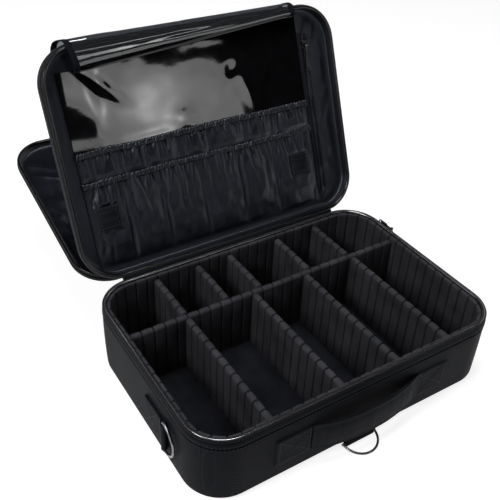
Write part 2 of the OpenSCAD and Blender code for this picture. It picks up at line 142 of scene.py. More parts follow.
class TrainCaseSizes(bpy.types.PropertyGroup):
    rib_pitch: length("Rib pitch", "Distance from one rib of the foam to the next", 0.0146)
    rib_depth: length("Rib depth", "Depth of the channel between two ribs", 0.0023)
    rib_gap: length("Rib gap", "Width of the channel between two ribs", 0.0017)
    stitch_pitch: length("Stitch pitch", "Distance from one stitch to the next", 0.0042)
    stitch_length: length("Stitch length", "Length of one stitch", 0.0027)
    thread: length("Thread", "Thickness of the sewing thread", 0.0008)
    tooth_pitch: length("Tooth pitch", "Distance between the turns of a zipper's coil", 0.0018)
    pocket_fold: length("Pocket folds", "Height of the folds in the gathered pockets", 0.0036)
    crease: length("Lining creases", "Height of the creases in the linings", 0.0016)


class TrainCaseColours(bpy.types.PropertyGroup):
    weave: colour("Outer fabric", "Ballistic weave of the case", (0.0062, 0.0069, 0.0100))
    tape: colour("Webbing", "Webbing, tapes and bindings", (0.0088, 0.0092, 0.0118))
    foam: colour("Ribbed foam", "Brushed face of the liner and dividers", (0.0365, 0.0365, 0.0410))
    pad: colour("Floor cloth", "Cloth over the floor pad", (0.0135, 0.0140, 0.0175))
    satin: colour("Satin", "Linings and brush pockets", (0.0062, 0.0066, 0.0098))
    vinyl: colour("Vinyl", "Piping and backing", (0.0035, 0.0035, 0.0042))
    smoke: colour("Smoked vinyl", "See-through flap over the leaf's edge", (0.20, 0.21, 0.23))
    metal: colour("Gunmetal", "Rings, sliders and pulls", (0.20, 0.20, 0.21))


# ---- shapes ----------------------------------------------------------


class Rim:
    """A rounded rectangle, walked anticlockwise from the right-hand side's front end."""

    def __init__(self, w, d, r, centre=(0.0, 0.0)):
        self.w, self.d, self.r, self.centre = w, d, r, np.array(centre, float)
        quarter = math.pi * r / 2
        self.parts = np.array([d - 2 * r, quarter, w - 2 * r, quarter] * 2)
        self.starts = np.concatenate([[0], np.cumsum(self.parts)[:-1]])
        self.total = float(self.parts.sum())

    def at(self, u):
        """Points and outward normals at distances u."""
        u = np.mod(np.asarray(u, float), self.total)
        k = np.clip(np.searchsorted(self.starts, u, side="right") - 1, 0, 7)
        t = u - self.starts[k]
        side, corner = k // 2, k % 2 == 1
        angle = side * math.pi / 2 + np.where(corner, t / self.r, 0)
        normal = np.stack([np.cos(angle), np.sin(angle)], 1)
        along = np.stack([-np.sin(side * math.pi / 2), np.cos(side * math.pi / 2)], 1)
        out = np.where(side % 2 == 0, self.w / 2, self.d / 2)
        flat = normal * out[:, None] + along * (t - self.parts[k] / 2)[:, None]
        sx = np.where((side == 0) | (side == 3), 1, -1)
        sy = np.where(side < 2, 1, -1)
        middle = np.stack([sx * (self.w / 2 - self.r), sy * (self.d / 2 - self.r)], 1)
        round_ = middle + normal * self.r
        return np.where(corner[:, None], round_, flat) + self.centre, normal

    def stations(self, step, arc=9):
        """Distances about a step apart, with at least arc of them round each corner."""
        found = []
        for k, (start, part) in enumerate(zip(self.starts, self.parts)):
            n = max(math.ceil(part / step), arc if k % 2 else 1)
            found.append(start + np.arange(n) * part / n)
        return np.concatenate(found)

    def ring(self, u, out, up):
        point, normal = self.at(u)
        flat = point + normal * np.broadcast_to(out, len(u))[:, None]
        return np.column_stack([flat, np.broadcast_to(up, len(u))])

    def rings(self, u, profile):
        """One ring for each (outwards, upwards) pair of a profile."""
        return [self.ring(u, out, up) for out, up in profile]

    def gathered(self, ring, share):
        """A ring pulled towards the outline's middle line."""
        half = (self.w - self.d) / 2
        target = np.column_stack([
            np.clip(ring[:, 0] - self.centre[0], -half, half) + self.centre[0],
            np.full(len(ring), self.centre[1]), ring[:, 2]])
        return ring + (target - ring) * share

    def filled(self, ring, shares, relief):
        """Rings that close an outline towards its middle, each raised by relief(x, y, share)."""
        found = []
        for share in shares:
            inner = self.gathered(ring, share)
            inner[:, 2] += relief(inner[:, 0], inner[:, 1], share)
            found.append(inner)
        return found


def loft(rings, closed=False):
    """Faces between rings of equally many points; closed joins the last ring to the first."""
    n, m = len(rings[0]), len(rings)
    points = np.concatenate(rings)
    last = m if closed else m - 1
    faces = [
        (j * n + i, j * n + (i + 1) % n, (j + 1) % m * n + (i + 1) % n, (j + 1) % m * n + i)
        for j in range(last) for i in range(n)]
    return points, faces


def slab(top, bottom):
    """A closed sheet from two grids of points, shaped (rows, columns, 3)."""
    rows, cols = top.shape[:2]
    points = np.concatenate([top.reshape(-1, 3), bottom.reshape(-1, 3)])
    half = rows * cols
    faces = []
    for i in range(rows - 1):
        for j in range(cols - 1):
            a, b, c, d = i * cols + j, i * cols + j + 1, (i + 1) * cols + j + 1, (i + 1) * cols + j
            faces += [(a, b, c, d), (a + half, d + half, c + half, b + half)]
    edge = list(range(cols)) + [i * cols + cols - 1 for i in range(1, rows)]
    edge += [(rows - 1) * cols + j for j in range(cols - 2, -1, -1)]
    edge += [i * cols for i in range(rows - 2, 0, -1)]
    faces += [(a, a + half, b + half, b) for a, b in zip(edge, edge[1:] + edge[:1])]
    return points, faces


def plate_grid(x0, x1, y0, y1, step):
    """Grid of x and y, shaped (rows, columns), with rows along y."""
    xs = np.linspace(x0, x1, max(2, round((x1 - x0) / step) + 1))
    ys = np.linspace(y0, y1, max(2, round((y1 - y0) / step) + 1))
    return np.meshgrid(xs, ys)


def grid_points(x, y, z):
    return np.stack([x, y, np.broadcast_to(z, x.shape)], -1)


def eased(t):
    """Smooth step from 0 to 1."""
    return t * t * (3 - 2 * t)


def unit(vectors):
    return vectors / np.linalg.norm(vectors, axis=1)[:, None]


def pillow(x, y, edge):
    """0 at the rim of a grid and 1 from edge inwards, rounded in between."""
    near = np.minimum.reduce([x - x.min(), x.max() - x, y - y.min(), y.max() - y])
    t = np.clip(near / edge, 0, 1)
    return np.sqrt(np.clip(1 - (1 - t) ** 2, 0, 1))


def swept(lines):
    """A closed bar from lines that run along it, one for each point of its section."""
    stack = np.stack(lines, 1)                       # (stations, section, 3)
    n, m = stack.shape[:2]
    faces = [
        (i * m + j, i * m + (j + 1) % m, (i + 1) * m + (j + 1) % m, (i + 1) * m + j)
        for i in range(n - 1) for j in range(m)]
    faces += [tuple(range(m)), tuple((n - 1) * m + j for j in range(m))]
    return stack.reshape(-1, 3), faces


def strip(centres, across, width, thickness, corner=0.35, normals=None):
    """A band of webbing along a line of points: across is the direction of its width."""
    centres = np.asarray(centres, float)
    across = np.broadcast_to(across, centres.shape)
    if normals is None:
        normals = np.cross(np.gradient(centres, axis=0), across)
    normals = unit(normals)
    w, t = np.broadcast_to(width, len(centres)) / 2, np.broadcast_to(thickness, len(centres)) / 2
    shape = []
    for sx, sy, order in ((1, 1, (0, 1)), (-1, 1, (1, 0)), (-1, -1, (0, 1)), (1, -1, (1, 0))):
        pair = [(sx * w, sy * (t - t * corner)), (sx * (w - t * corner * 2), sy * t)]
        shape += [pair[k] for k in order]
    return swept([centres + across * a[:, None] + normals * b[:, None] for a, b in shape])


def joined(*shapes):
    points, faces, base = [], [], 0
    for p, f in shapes:
        points.append(np.asarray(p, float).reshape(-1, 3))
        faces += [tuple(i + base for i in face) for face in f]
        base += len(points[-1])
    return np.concatenate(points), faces


def soft_noise(x, y, seed):
    """Smooth noise from -1 to 1 on a unit lattice."""
    lattice = np.random.default_rng(seed).uniform(-1, 1, (64, 64))
    i, j = np.floor(x).astype(int), np.floor(y).astype(int)
    fx, fy = eased(x - i), eased(y - j)
    a, b = lattice[i % 64, j % 64], lattice[(i + 1) % 64, j % 64]
    c, d = lattice[i % 64, (j + 1) % 64], lattice[(i + 1) % 64, (j + 1) % 64]
    return (a * (1 - fx) + b * fx) * (1 - fy) + (c * (1 - fx) + d * fx) * fy


def creases(x, y, angle, long, wide, seed):
    """Ridges from 0 to 1 that run at an angle, in degrees, as loosely laid satin shows."""
    a = math.radians(angle)
    p, q = x * math.cos(a) + y * math.sin(a), -x * math.sin(a) + y * math.cos(a)
    bend = soft_noise(p / long, q / long, seed + 1) * 0.6
    return (1 - np.abs(soft_noise(p / long, q / wide + bend, seed))) ** 2.5


def swell(x, y, cx, cy, wide, tall, rise, angle):
    """A single rounded swelling, turned by an angle in degrees."""
    a = math.radians(angle)
    p, q = (x - cx) * math.cos(a) + (y - cy) * math.sin(a), -(x - cx) * math.sin(a) + (y - cy) * math.cos(a)
    return rise * np.exp(-(p / wide) ** 2 - (q / tall) ** 2)


def smooth_line(points, step):
    """Evenly spaced points on a Catmull-Rom curve through the given ones."""
    p = np.asarray(points, float)
    p = np.vstack([2 * p[0] - p[1], p, 2 * p[-1] - p[-2]])
    out = []
    for i in range(1, len(p) - 2):
        t = np.linspace(0, 1, 24, endpoint=False)[:, None]
        a, b, c, d = p[i - 1], p[i], p[i + 1], p[i + 2]
        out.append(0.5 * (2 * b + (c - a) * t + (2 * a - 5 * b + 4 * c - d) * t ** 2
                          + (3 * b - a - 3 * c + d) * t ** 3))
    out = np.vstack(out + [p[-2][None]])
    far = np.concatenate([[0], np.cumsum(np.linalg.norm(np.diff(out, axis=0), axis=1))])
    want = np.linspace(0, far[-1], max(3, round(far[-1] / step) + 1))
    return np.stack([np.interp(want, far, out[:, k]) for k in range(out.shape[1])], 1)


WELD = 2e-6                         # points nearer than this, in metres, become one


def in_scene(name, data):
    """A new object, linked into the scene."""
    made = bpy.data.objects.new(name, data)
    bpy.context.scene.collection.objects.link(made)
    return made


def new_piece(name, shape, key, where=WORLD, body=None, replaces=(), sharp=42):
    """A finished piece: closed, smooth except at sharp edges, with its place in its mesh."""
    points, faces = shape
    mesh = bpy.data.meshes.new(name)
    mesh.from_pydata((placed(points, where) / MM).tolist(), [], faces)
    bm = bmesh.new()
    bm.from_mesh(mesh)
    bmesh.ops.remove_doubles(bm, verts=bm.verts, dist=WELD)
    bmesh.ops.recalc_face_normals(bm, faces=bm.faces)
    bm.to_mesh(mesh)
    bm.free()
    mesh.shade_smooth()
    mesh.set_sharp_from_angle(angle=math.radians(sharp))
    mesh.materials.append(finish(key))
    piece = in_scene(name, mesh)
    if body:
        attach(piece, body)
    if replaces:
        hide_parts(*replaces)
    return piece


# ---- rows of stitches and coils --------------------------------------


def row_tree():
    """Geometry Nodes tree that lays small rounded bars along curves."""
    tree = bpy.data.node_groups.new("train case row", "GeometryNodeTree")
    face = tree.interface
    face.new_socket("Line", in_out="INPUT", socket_type="NodeSocketGeometry")
    for name in ("Pitch", "Length", "Width"):
        face.new_socket(name, in_out="INPUT", socket_type="NodeSocketFloat")
    face.new_socket("Finish", in_out="INPUT", socket_type="NodeSocketMaterial")
    face.new_socket("Row", in_out="OUTPUT", socket_type="NodeSocketGeometry")
    add = tree.nodes.new
    given, made = add("NodeGroupInput"), add("NodeGroupOutput")
    spread, place = add("GeometryNodeCurveToPoints"), add("GeometryNodeInstanceOnPoints")
    spread.mode = "LENGTH"
    size, bar = add("ShaderNodeCombineXYZ"), add("GeometryNodeMeshUVSphere")
    real, paint = add("GeometryNodeRealizeInstances"), add("GeometryNodeSetMaterial")
    for socket, value in (("Segments", 6), ("Rings", 5), ("Radius", 0.5)):
        bar.inputs[socket].default_value = value
    for source, output, target, socket in (
            (given, "Line", spread, "Curve"), (given, "Pitch", spread, "Length"),
            (given, "Width", size, "X"), (given, "Width", size, "Y"), (given, "Length", size, "Z"),
            (spread, "Points", place, "Points"), (spread, "Rotation", place, "Rotation"),
            (bar, "Mesh", place, "Instance"), (size, "Vector", place, "Scale"),
            (place, "Instances", real, "Geometry"), (real, "Geometry", paint, "Geometry"),
            (given, "Finish", paint, "Material"), (paint, "Geometry", made, "Row")):
        tree.links.new(source.outputs[output], target.inputs[socket])
    return tree


def row(name, lines, material, body, slot, pitch, bar, width):
    """One mesh of bars along several lines of points, in metres, riding on a body."""
    tree = bpy.data.node_groups.get("train case row") or row_tree()
    curve = bpy.data.curves.new(name + "_line", "CURVE")
    curve.dimensions = "3D"
    for points, closed in lines:
        spline = curve.splines.new("POLY")
        spline.points.add(len(points) - 1)
        spline.points.foreach_set("co", np.column_stack([points, np.ones(len(points))]).ravel())
        spline.use_cyclic_u = closed
    holder = in_scene(name + "_line", curve)
    modifier = holder.modifiers.new("row", "NODES")
    modifier.node_group = tree
    sockets = {item.name: item.identifier for item in tree.interface.items_tree}
    for socket, value in (("Pitch", pitch), ("Length", bar), ("Width", width), ("Finish", material)):
        modifier[sockets[socket]] = value
    bpy.context.view_layer.update()
    seen = holder.evaluated_get(bpy.context.evaluated_depsgraph_get())
    mesh = bpy.data.meshes.new_from_object(seen)
    bpy.data.objects.remove(holder)
    bpy.data.curves.remove(curve)
    mesh.shade_smooth()
    if not mesh.materials:
        mesh.materials.append(material)
    piece = in_scene(name, mesh)
    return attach(piece, body)


def rim_line(rim, out, up, where=WORLD):
    """A closed line round a rim, in metres."""
    return placed(rim.ring(rim.stations(6.0), out, up), where) / MM, True


def straight(a, b, where):
    """An open line from a to b, in metres."""
    return placed([a, b], where) / MM, False


# ---- finishes --------------------------------------------------------


def finish_nodes(name):
    material = bpy.data.materials.new(name)
    material.use_nodes = True
    tree = material.node_tree
    shader = tree.nodes["Principled BSDF"]
    return material, tree, shader


def fill(tree, node, values):
    """Sets a node's inputs to values, or links them where a value is another node's output."""
    for key, value in values:
        if isinstance(value, bpy.types.NodeSocket):
            tree.links.new(value, node.inputs[key])
        else:
            node.inputs[key].default_value = value


def new_node(tree, kind, output, **values):
    """The named output of a new node; values are its inputs, with _ for a space."""
    node = tree.nodes.new(kind)
    fill(tree, node, [(key.replace("_", " "), value) for key, value in values.items()])
    return node.outputs[output]


def maths(tree, operation, *values):
    node = tree.nodes.new("ShaderNodeMath")
    node.operation = operation
    fill(tree, node, enumerate(values))
    return node.outputs[0]


def seen_directly(tree):
    """1 for rays from the camera and for those mirrored or let through, else 0."""
    path = tree.nodes.new("ShaderNodeLightPath")
    looked = maths(tree, "MAXIMUM", path.outputs["Is Camera Ray"], path.outputs["Is Glossy Ray"])
    return maths(tree, "MAXIMUM", looked, path.outputs["Is Transmission Ray"])


def object_place(tree):
    return new_node(tree, "ShaderNodeTexCoord", "Object")


def object_noise(tree, scale, detail):
    return new_node(tree, "ShaderNodeTexNoise", "Fac", Vector=object_place(tree), Scale=scale, Detail=detail)


def weave_height(tree, pitch, slope):
    """Over-and-under pattern that shows on walls and on level cloth alike."""
    axes = tree.nodes.new("ShaderNodeSeparateXYZ")
    fill(tree, axes, [("Vector", object_place(tree))])
    x, y, z = (axes.outputs[k] for k in "XYZ")
    warp = maths(tree, "ADD", x, y)
    weft = maths(tree, "ADD", z, maths(tree, "MULTIPLY", maths(tree, "SUBTRACT", x, y), slope))
    a, b = (maths(tree, "SINE", maths(tree, "MULTIPLY", line, 2 * math.pi / pitch)) for line in (warp, weft))
    return maths(tree, "MULTIPLY", a, b)


def tint(tree, shader, factor, dark, light):
    ramp = tree.nodes.new("ShaderNodeValToRGB")
    for end, place, rgb in zip(ramp.color_ramp.elements, (0.3, 0.75), (dark, light)):
        end.position, end.color = place, (*rgb, 1)
    fill(tree, ramp, [("Fac", factor)])
    fill(tree, shader, [("Base Color", ramp.outputs["Color"])])


def scaled(rgb, k):
    return tuple(c * k for c in rgb)


def between(tree, factor, least, most):
    """least where the factor is 0, most where it is 1."""
    return new_node(tree, "ShaderNodeMapRange", "Result", Value=factor, To_Min=least, To_Max=most)


def bumped(tree, *layers):
    """Normal from several heights, each a (height, strength, distance)."""
    normal = {}
    for height, strength, distance in layers:
        normal = {"Normal": new_node(tree, "ShaderNodeBump", "Normal", Height=height, Strength=strength,
                                     Distance=distance, **normal)}
    return normal["Normal"]


def cloth(name, rgb, pitch, depth, smooth, rough, index, sheen_spread=0.35, slope=1.0, thread_shading=0.12):
    """Woven cloth: threads, and a colour drift that is partly random tone and partly painted sheen; the threads'
    height also shades the colour as painted weave shading.
    """
    material, tree, shader = finish_nodes(name)
    drift = object_noise(tree, 38, 3)
    threads = weave_height(tree, pitch, slope)
    # Thread heights and the drift noise both move the colour lighter and darker: painted weave shading from the
    # threads, and painted sheen patches mixed with random tone from the drift.
    shade = maths(tree, "ADD", maths(tree, "MULTIPLY", threads, thread_shading), drift)
    tint(tree, shader, shade, scaled(rgb, 1 - sheen_spread), scaled(rgb, 1 + sheen_spread))
    grain = object_noise(tree, 900, 1)
    fill(tree, shader, [
        ("Roughness", between(tree, drift, smooth, rough)),
        ("Normal", bumped(tree, (threads, 0.8, depth), (grain, 0.35, depth))),
        ("IOR", index), ("Specular Tint", (0.80, 0.87, 1.0, 1))])
    return material


def scuffed(name, dark, light, scale, detail, rough, bump=None, more=()):
    """Finish whose shade and roughness drift together; bump is (scale, strength, distance)."""
    material, tree, shader = finish_nodes(name)
    scuff = object_noise(tree, scale, detail)
    tint(tree, shader, scuff, dark, light)
    fill(tree, shader, [("Roughness", between(tree, scuff, *rough) if isinstance(rough, tuple) else rough), *more])
    if bump:
        height = object_noise(tree, bump[0], 2)
        fill(tree, shader, [("Normal", bumped(tree, (height, *bump[1:])))])
    return material


def make_finishes():
    c = bpy.context.scene.train_case_colours
    made = {
        # The number after the index sets how far each cloth's colour is lightened and darkened as painted sheen and
        # weave shading; the last keyword sets the threads' share of it.
        "weave": cloth("ballistic_weave", tuple(c.weave), 0.0026, 0.0008, 0.45, 0.6, 1.14, 0.65, thread_shading=0.3),
        "tape": cloth("webbing_weave", tuple(c.tape), 0.0019, 0.0005, 0.5, 0.65, 1.16, 0.5, slope=0.0, thread_shading=0.25),
        "foam": cloth("brushed_foam_face", tuple(c.foam), 0.0008, 0.00008, 0.42, 0.55, 1.25),
        "pad": cloth("floor_cloth", tuple(c.pad), 0.0009, 0.00006, 0.6, 0.75, 1.12),
        "satin": cloth("satin_lining", tuple(c.satin), 0.0006, 0.00003, 0.25, 0.33, 1.5, 0.2),
        "pile": cloth("hook_pile", scaled(c.tape, 2.3), 0.0017, 0.0004, 0.85, 0.95, 1.05),
    }
    tape, vinyl, metal = tuple(c.tape), tuple(c.vinyl), tuple(c.metal)
    made["thread"] = scuffed("sewing_thread", scaled(tape, 1.1), scaled(tape, 1.9), 1500, 1, 0.5)
    made["coil"] = scuffed("zipper_coil", scaled(tape, 0.6), tape, 400, 1, 0.32)
    made["vinyl"] = scuffed("gloss_vinyl", scaled(vinyl, 0.7), scaled(vinyl, 1.3), 60, 4, (0.02, 0.07),
                            (220, 0.03, 0.0003), [("Specular IOR Level", 0.75)])
    # The body bead's colour is six times the vinyl's, a painted highlight along the rim; the leaf and lid piping
    # keep the vinyl's own colour.
    for key, highlight_gain, index in (("piping", 1.0, 1.6), ("bead", 6.0, 2.6)):
        made[key] = scuffed(key + "_vinyl", scaled(vinyl, 0.7 * highlight_gain), scaled(vinyl, 1.4 * highlight_gain), 120, 4,
                            (0.12, 0.22), (700, 0.1, 0.0002), [("IOR", index)])
    made["metal"] = scuffed("gunmetal_plating", scaled(metal, 0.75), scaled(metal, 1.3), 160, 4, (0.18, 0.34),
                            (1200, 0.08, 0.0001), [("Metallic", 1.0)])
    made["board"] = scuffed("base_board_plastic", (0.012, 0.012, 0.013), (0.02, 0.02, 0.022), 300, 3, 0.6)
    made["clear"], tree, shader = finish_nodes("clear_sheet")
    fill(tree, shader, [
        ("Roughness", between(tree, object_noise(tree, 90, 3), 0.02, 0.07)),
        ("Normal", bumped(tree, (object_noise(tree, 45, 2), 0.12, 0.0008))),
        ("Base Color", (*tuple(c.smoke), 1)), ("Transmission Weight", 1.0), ("Coat Weight", 1.0),
        ("Coat Roughness", 0.02), ("IOR", 1.5)])
    return made


def finish(key):
    """One of the case's materials, made with the rest on first use."""
    made = getattr(finish, "made", None)
    if made is None:
        made = finish.made = make_finishes()
    return made[key]


# ---- outlines --------------------------------------------------------

BODY_RIM = Rim(CASE_W, CASE_D, CORNER)
LINER_RIM = Rim(CASE_W - 2 * LINER, CASE_D - 2 * LINER, CORNER - LINER)
LEAF_RIM = Rim(LEAF_W, LEAF_D, LEAF_R, (0, HINGE_GAP + LEAF_D / 2))
LID_RIM = Rim(LID_W, LID_D, LID_R, (0, HINGE_GAP + LID_D / 2))


def band(rim, profile, step=5.0):
    """Closed sweep of (outwards, upwards) points round a rim."""
    u = rim.stations(step, 14)
    return loft(rim.rings(u, profile), closed=True)


def bead(rim, inset, up, radius):
    turn = np.linspace(0, 2 * math.pi, 12, endpoint=False)
    return band(rim, [(-inset + radius * math.cos(a), up + radius * math.sin(a)) for a in turn], 4.0)


def tape_profile(top):
    """Section of a zipper tape that hangs down from a rim at height top."""
    return [(-0.35, top - 0.1), (0, top - 0.6), (0.05, top - 2.6), (-0.25, top - 3.1),
            (-0.63, top - 3.1), (-0.63, top - 0.1)]


# ---- lower body ------------------------------------------------------


class TRAINCASE_OT_shell(bpy.types.Operator):
    """Woven outer shell of the lower body, with its welt and zipper tape"""

    bl_idname = "train_case.shell"
    bl_label = "Body shell"

    def execute(self, context):
        rim = BODY_RIM
        u = rim.stations(4.0, 16)
        sag = 0.5 * soft_noise(u / 55, u * 0 + 0.5, 3)
        edge = [(-6 + 6 * math.sin(a), 6 - 6 * math.cos(a)) for a in np.linspace(0, math.pi / 2, 8)]
        wall = [(out, z, 0) for out, z in edge]       # outwards, upwards, share of the sag
        wall += [(0.3, 16, 0.6), (0.5, 30, 1), (0.6, 45, 1), (0.5, 60, 1), (0.3, 72, 0.6), (0.15, 77.6, 0.2)]
        wall += [(-0.7, 78.6, 0), (-0.75, 79.4, 0), (0.2, 80.3, 0), (0.35, 83, 0), (0.2, 86, 0), (-0.5, WALL_TOP, 0)]
        wall += [(-1.9, WALL_TOP - 0.2, 0), (-2, 60, 0), (-2, 8, 0), (-6, 2.2, 0)]
        rings = [rim.ring(u, out + sag * share, z) for out, z, share in wall]
        under = [rim.gathered(rings[0], s) for s in (1, 0.75, 0.5, 0.25)]
        over = [rim.gathered(rings[-1], s) for s in (0.25, 0.5, 0.75, 1)]
        new_piece("body_fabric", loft(under + rings + over), "weave",
                  body="body", replaces=("body_shell",))
        tape = [(-0.3, WALL_TOP + 0.3), (-0.05, 88), (-0.1, 90), (-0.5, 90.7), (-1.2, 90.7), (-1.2, WALL_TOP + 0.3)]
        new_piece("body_zip_tape_cloth", band(rim, tape), "tape",
                  body="body", replaces=("body_zip_tape",))
        return {"FINISHED"}


def rib_stations(total, sizes, seed):
    """Distances along a ribbed sheet, depth of its channels there, and a slight lean of each rib."""
    count = max(2, round(total / (sizes.rib_pitch * MM)))
    pitch, gap = total / count, sizes.rib_gap * MM
    near = np.array([0, 0.25, 0.42, 0.55, 0.8, 1.3, 2.6]) * gap
    at = np.concatenate([near, [pitch / 2], pitch - near[:0:-1]])
    depth = np.array([1, 0.92, 0.55, 0.3, 0.14, 0.06, 0.02, 0])
    depth = np.concatenate([depth, depth[-2:0:-1]]) * sizes.rib_depth * MM
    u = (np.arange(count)[:, None] * pitch + at).ravel()
    lean = np.repeat(np.random.default_rng(seed).uniform(-0.3, 0.3, count), len(at))
    share = np.tile(1 - depth / depth.max(), count)
    return u, np.tile(depth, count), lean * share


class TRAINCASE_OT_liner(bpy.types.Operator):
    """Ribbed foam liner round the inside of the body, and the floor pad"""

    bl_idname = "train_case.liner"
    bl_label = "Liner and floor"

    def execute(self, context):
        rim = LINER_RIM
        u, groove, wobble = rib_stations(rim.total, context.scene.train_case_sizes, 5)
        bottom, top, back = low("body_liner")[2], WALL_TOP - 0.3, LINER - 2.4
        section = [(groove + wobble * math.sin(z / 17), z) for z in np.linspace(bottom, top - 3.2, 7)]
        crest, roll = top + 2.6, 2.3
        for a in np.linspace(0.2, math.pi - 0.1, 9):
            section.append((roll - roll * math.cos(a) + groove * max(0, math.cos(a * 0.6)),
                            crest - roll + roll * math.sin(a) - groove * math.sin(a) * 0.9))
        section += [(2 * roll + 0.1, top - 0.4), (back, top - 0.6), (back, bottom)]
        piece = new_piece("liner_ribs", loft(rim.rings(u, section), closed=True), "foam",
                          body="body", replaces=("body_liner",), sharp=75)

        pad = Rim(CASE_W - 2 * LINER - 0.6, CASE_D - 2 * LINER - 0.6, CORNER - LINER - 0.3)
        u = pad.stations(3.5, 12)
        base = pad.ring(u, 0, low("floor_pad")[2])
        rings = [pad.gathered(base, s) for s in (1, 0.5)] + [base]
        rings += pad.rings(u, [(0, FLOOR_TOP - 1.0), (-0.7, FLOOR_TOP - 0.25), (-2.5, FLOOR_TOP)])

        def relief(x, y, share):
            return 0.25 * soft_noise(x / 26, y / 26, 11) + 0.22 * creases(x, y, 35, 60, 14, 12) - 0.35

        rings += pad.filled(pad.ring(u, -4, FLOOR_TOP), np.linspace(0, 1, 36), relief)
        piece = new_piece("floor_cushion", loft(rings), "pad",
                          body="body", replaces=("floor_pad",))
        return {"FINISHED"}


PUFF = 0.8                         # foam bulges past the divider's nominal face


def ribbed_panel(run, height, thickness, sizes, seed):
    """Upright divider along X from the origin, with ribs wrapped over its rounded top."""
    u, groove, lean = rib_stations(run, sizes, seed)
    u, groove, lean = np.append(u, run), np.append(groove, groove[0]), np.append(lean, 0)
    half = thickness / 2 + PUFF
    sway = 0.35 * soft_noise(u / 40, u * 0 + seed, seed)
    top = height - half
    section = [(-(half - groove) + lean * math.sin(z / 20), z + 0 * u) for z in np.linspace(0, top, 6)]
    for a in np.linspace(math.pi, 0, 9)[1:-1]:
        cut = groove * (1 + 0.55 * math.sin(a))
        section.append(((half - cut) * math.cos(a), top + (half - cut) * math.sin(a)))
    section += [((half - groove) + lean * math.cos(z / 20), z + 0 * u) for z in np.linspace(top, 0, 6)]
    return swept([np.column_stack([u, y + sway * np.sin(np.clip(z / height, 0, 1) * math.pi / 2), z])
                  for y, z in section])


class TRAINCASE_OT_dividers(bpy.types.Operator):
    """Ten ribbed foam dividers, each free to lift out"""

    bl_idname = "train_case.dividers"
    bl_label = "Dividers"

    def execute(self, context):
        sizes = context.scene.train_case_sizes
        names = ["divider_long"] + [f"divider_rear_{i}" for i in range(1, 6)]
        names += [f"divider_front_{i}" for i in range(1, 5)]
        for seed, node in enumerate(names, 20):
            lo, hi = low(node), high(node)
            thick = min(hi[0] - lo[0], hi[1] - lo[1])
            run = max(hi[0] - lo[0], hi[1] - lo[1])
            across = node != "divider_long"
            room = across * (PUFF + 0.1)               # left free where it meets the long divider
            points, faces = ribbed_panel(run - room, hi[2] - lo[2], thick, sizes, seed)
            if across:
                points = points[:, [1, 0, 2]] + [(lo[0] + hi[0]) / 2, lo[1] + (lo[1] > 0) * room, lo[2]]
            else:
                points = points + [lo[0], (lo[1] + hi[1]) / 2, lo[2]]
            piece = new_piece(node + "_ribs", (points, faces), "foam",
                              body="lift_" + node, replaces=(node,), sharp=75)
        return {"FINISHED"}


# ---- handle, tabs and rings ------------------------------------------


HANDLE_HALF, HANDLE_REACH = 71.0, 11.0
STRAP_HALF = 18.4                   # half the handle's height
STRAP_T, GRIP_T = 3.0, 6.6          # thickness at the sewn ends and in the padded middle
HANDLE_R = (HANDLE_HALF ** 2 + HANDLE_REACH ** 2) / (2 * HANDLE_REACH)
GRIP_HALF = high("handle_grip")[0]


def handle_line(x0, x1, n):
    """Points, outward normals and places along X of the handle's arc."""
    front = -CASE_D / 2 - 1.8
    middle = np.array([0, front - HANDLE_REACH + HANDLE_R, 41.0])
    x = np.linspace(x0, x1, n)
    a = np.arcsin(x / HANDLE_R)
    out = np.column_stack([np.sin(a), -np.cos(a), 0 * a])
    return middle + out * HANDLE_R, out, x


def padded_strap(x0, x1, n):
    """Upright band along the arc: a padded sleeve with a piped upper and lower edge."""
    centre, out, x = handle_line(x0, x1, n)
    t = np.clip((HANDLE_HALF - 3 - np.abs(x)) / 16.0, 0, 1)
    thick = STRAP_T + (GRIP_T - STRAP_T) * eased(t)
    section = []
    for side in (1, -1):
        for z in np.linspace(-1, 1, 17) * side:
            crown = 0.35 + 0.65 * (1 - (abs(z) / 0.86) ** 3) if abs(z) < 0.86 else 0.55
            section.append((z * STRAP_HALF, side * crown))
    crease = 0.45 * soft_noise(x / 9, x * 0 + 2.5, 9) + 0.25 * soft_noise(x / 3.5, x * 0 + 7.5, 10)
    rings = []
    for z, off in section:
        bulge = off * thick / 2 + crease * np.sign(off) * (abs(z) < 14) * t
        place = centre + out * bulge[:, None]
        rings.append(place + np.column_stack([0 * x, 0 * x, z + 0.5 * soft_noise(x / 22, x * 0 + 4, 8)]))
    return swept(rings)


def sewn_box(corners, where=WORLD, crossed=True):
    """Stitch lines of a sewn box, with or without the cross in it."""
    pairs = [(0, 1), (1, 2), (2, 3), (3, 0)] + [(0, 2), (1, 3)] * crossed
    return [straight(corners[a], corners[b], where) for a, b in pairs]


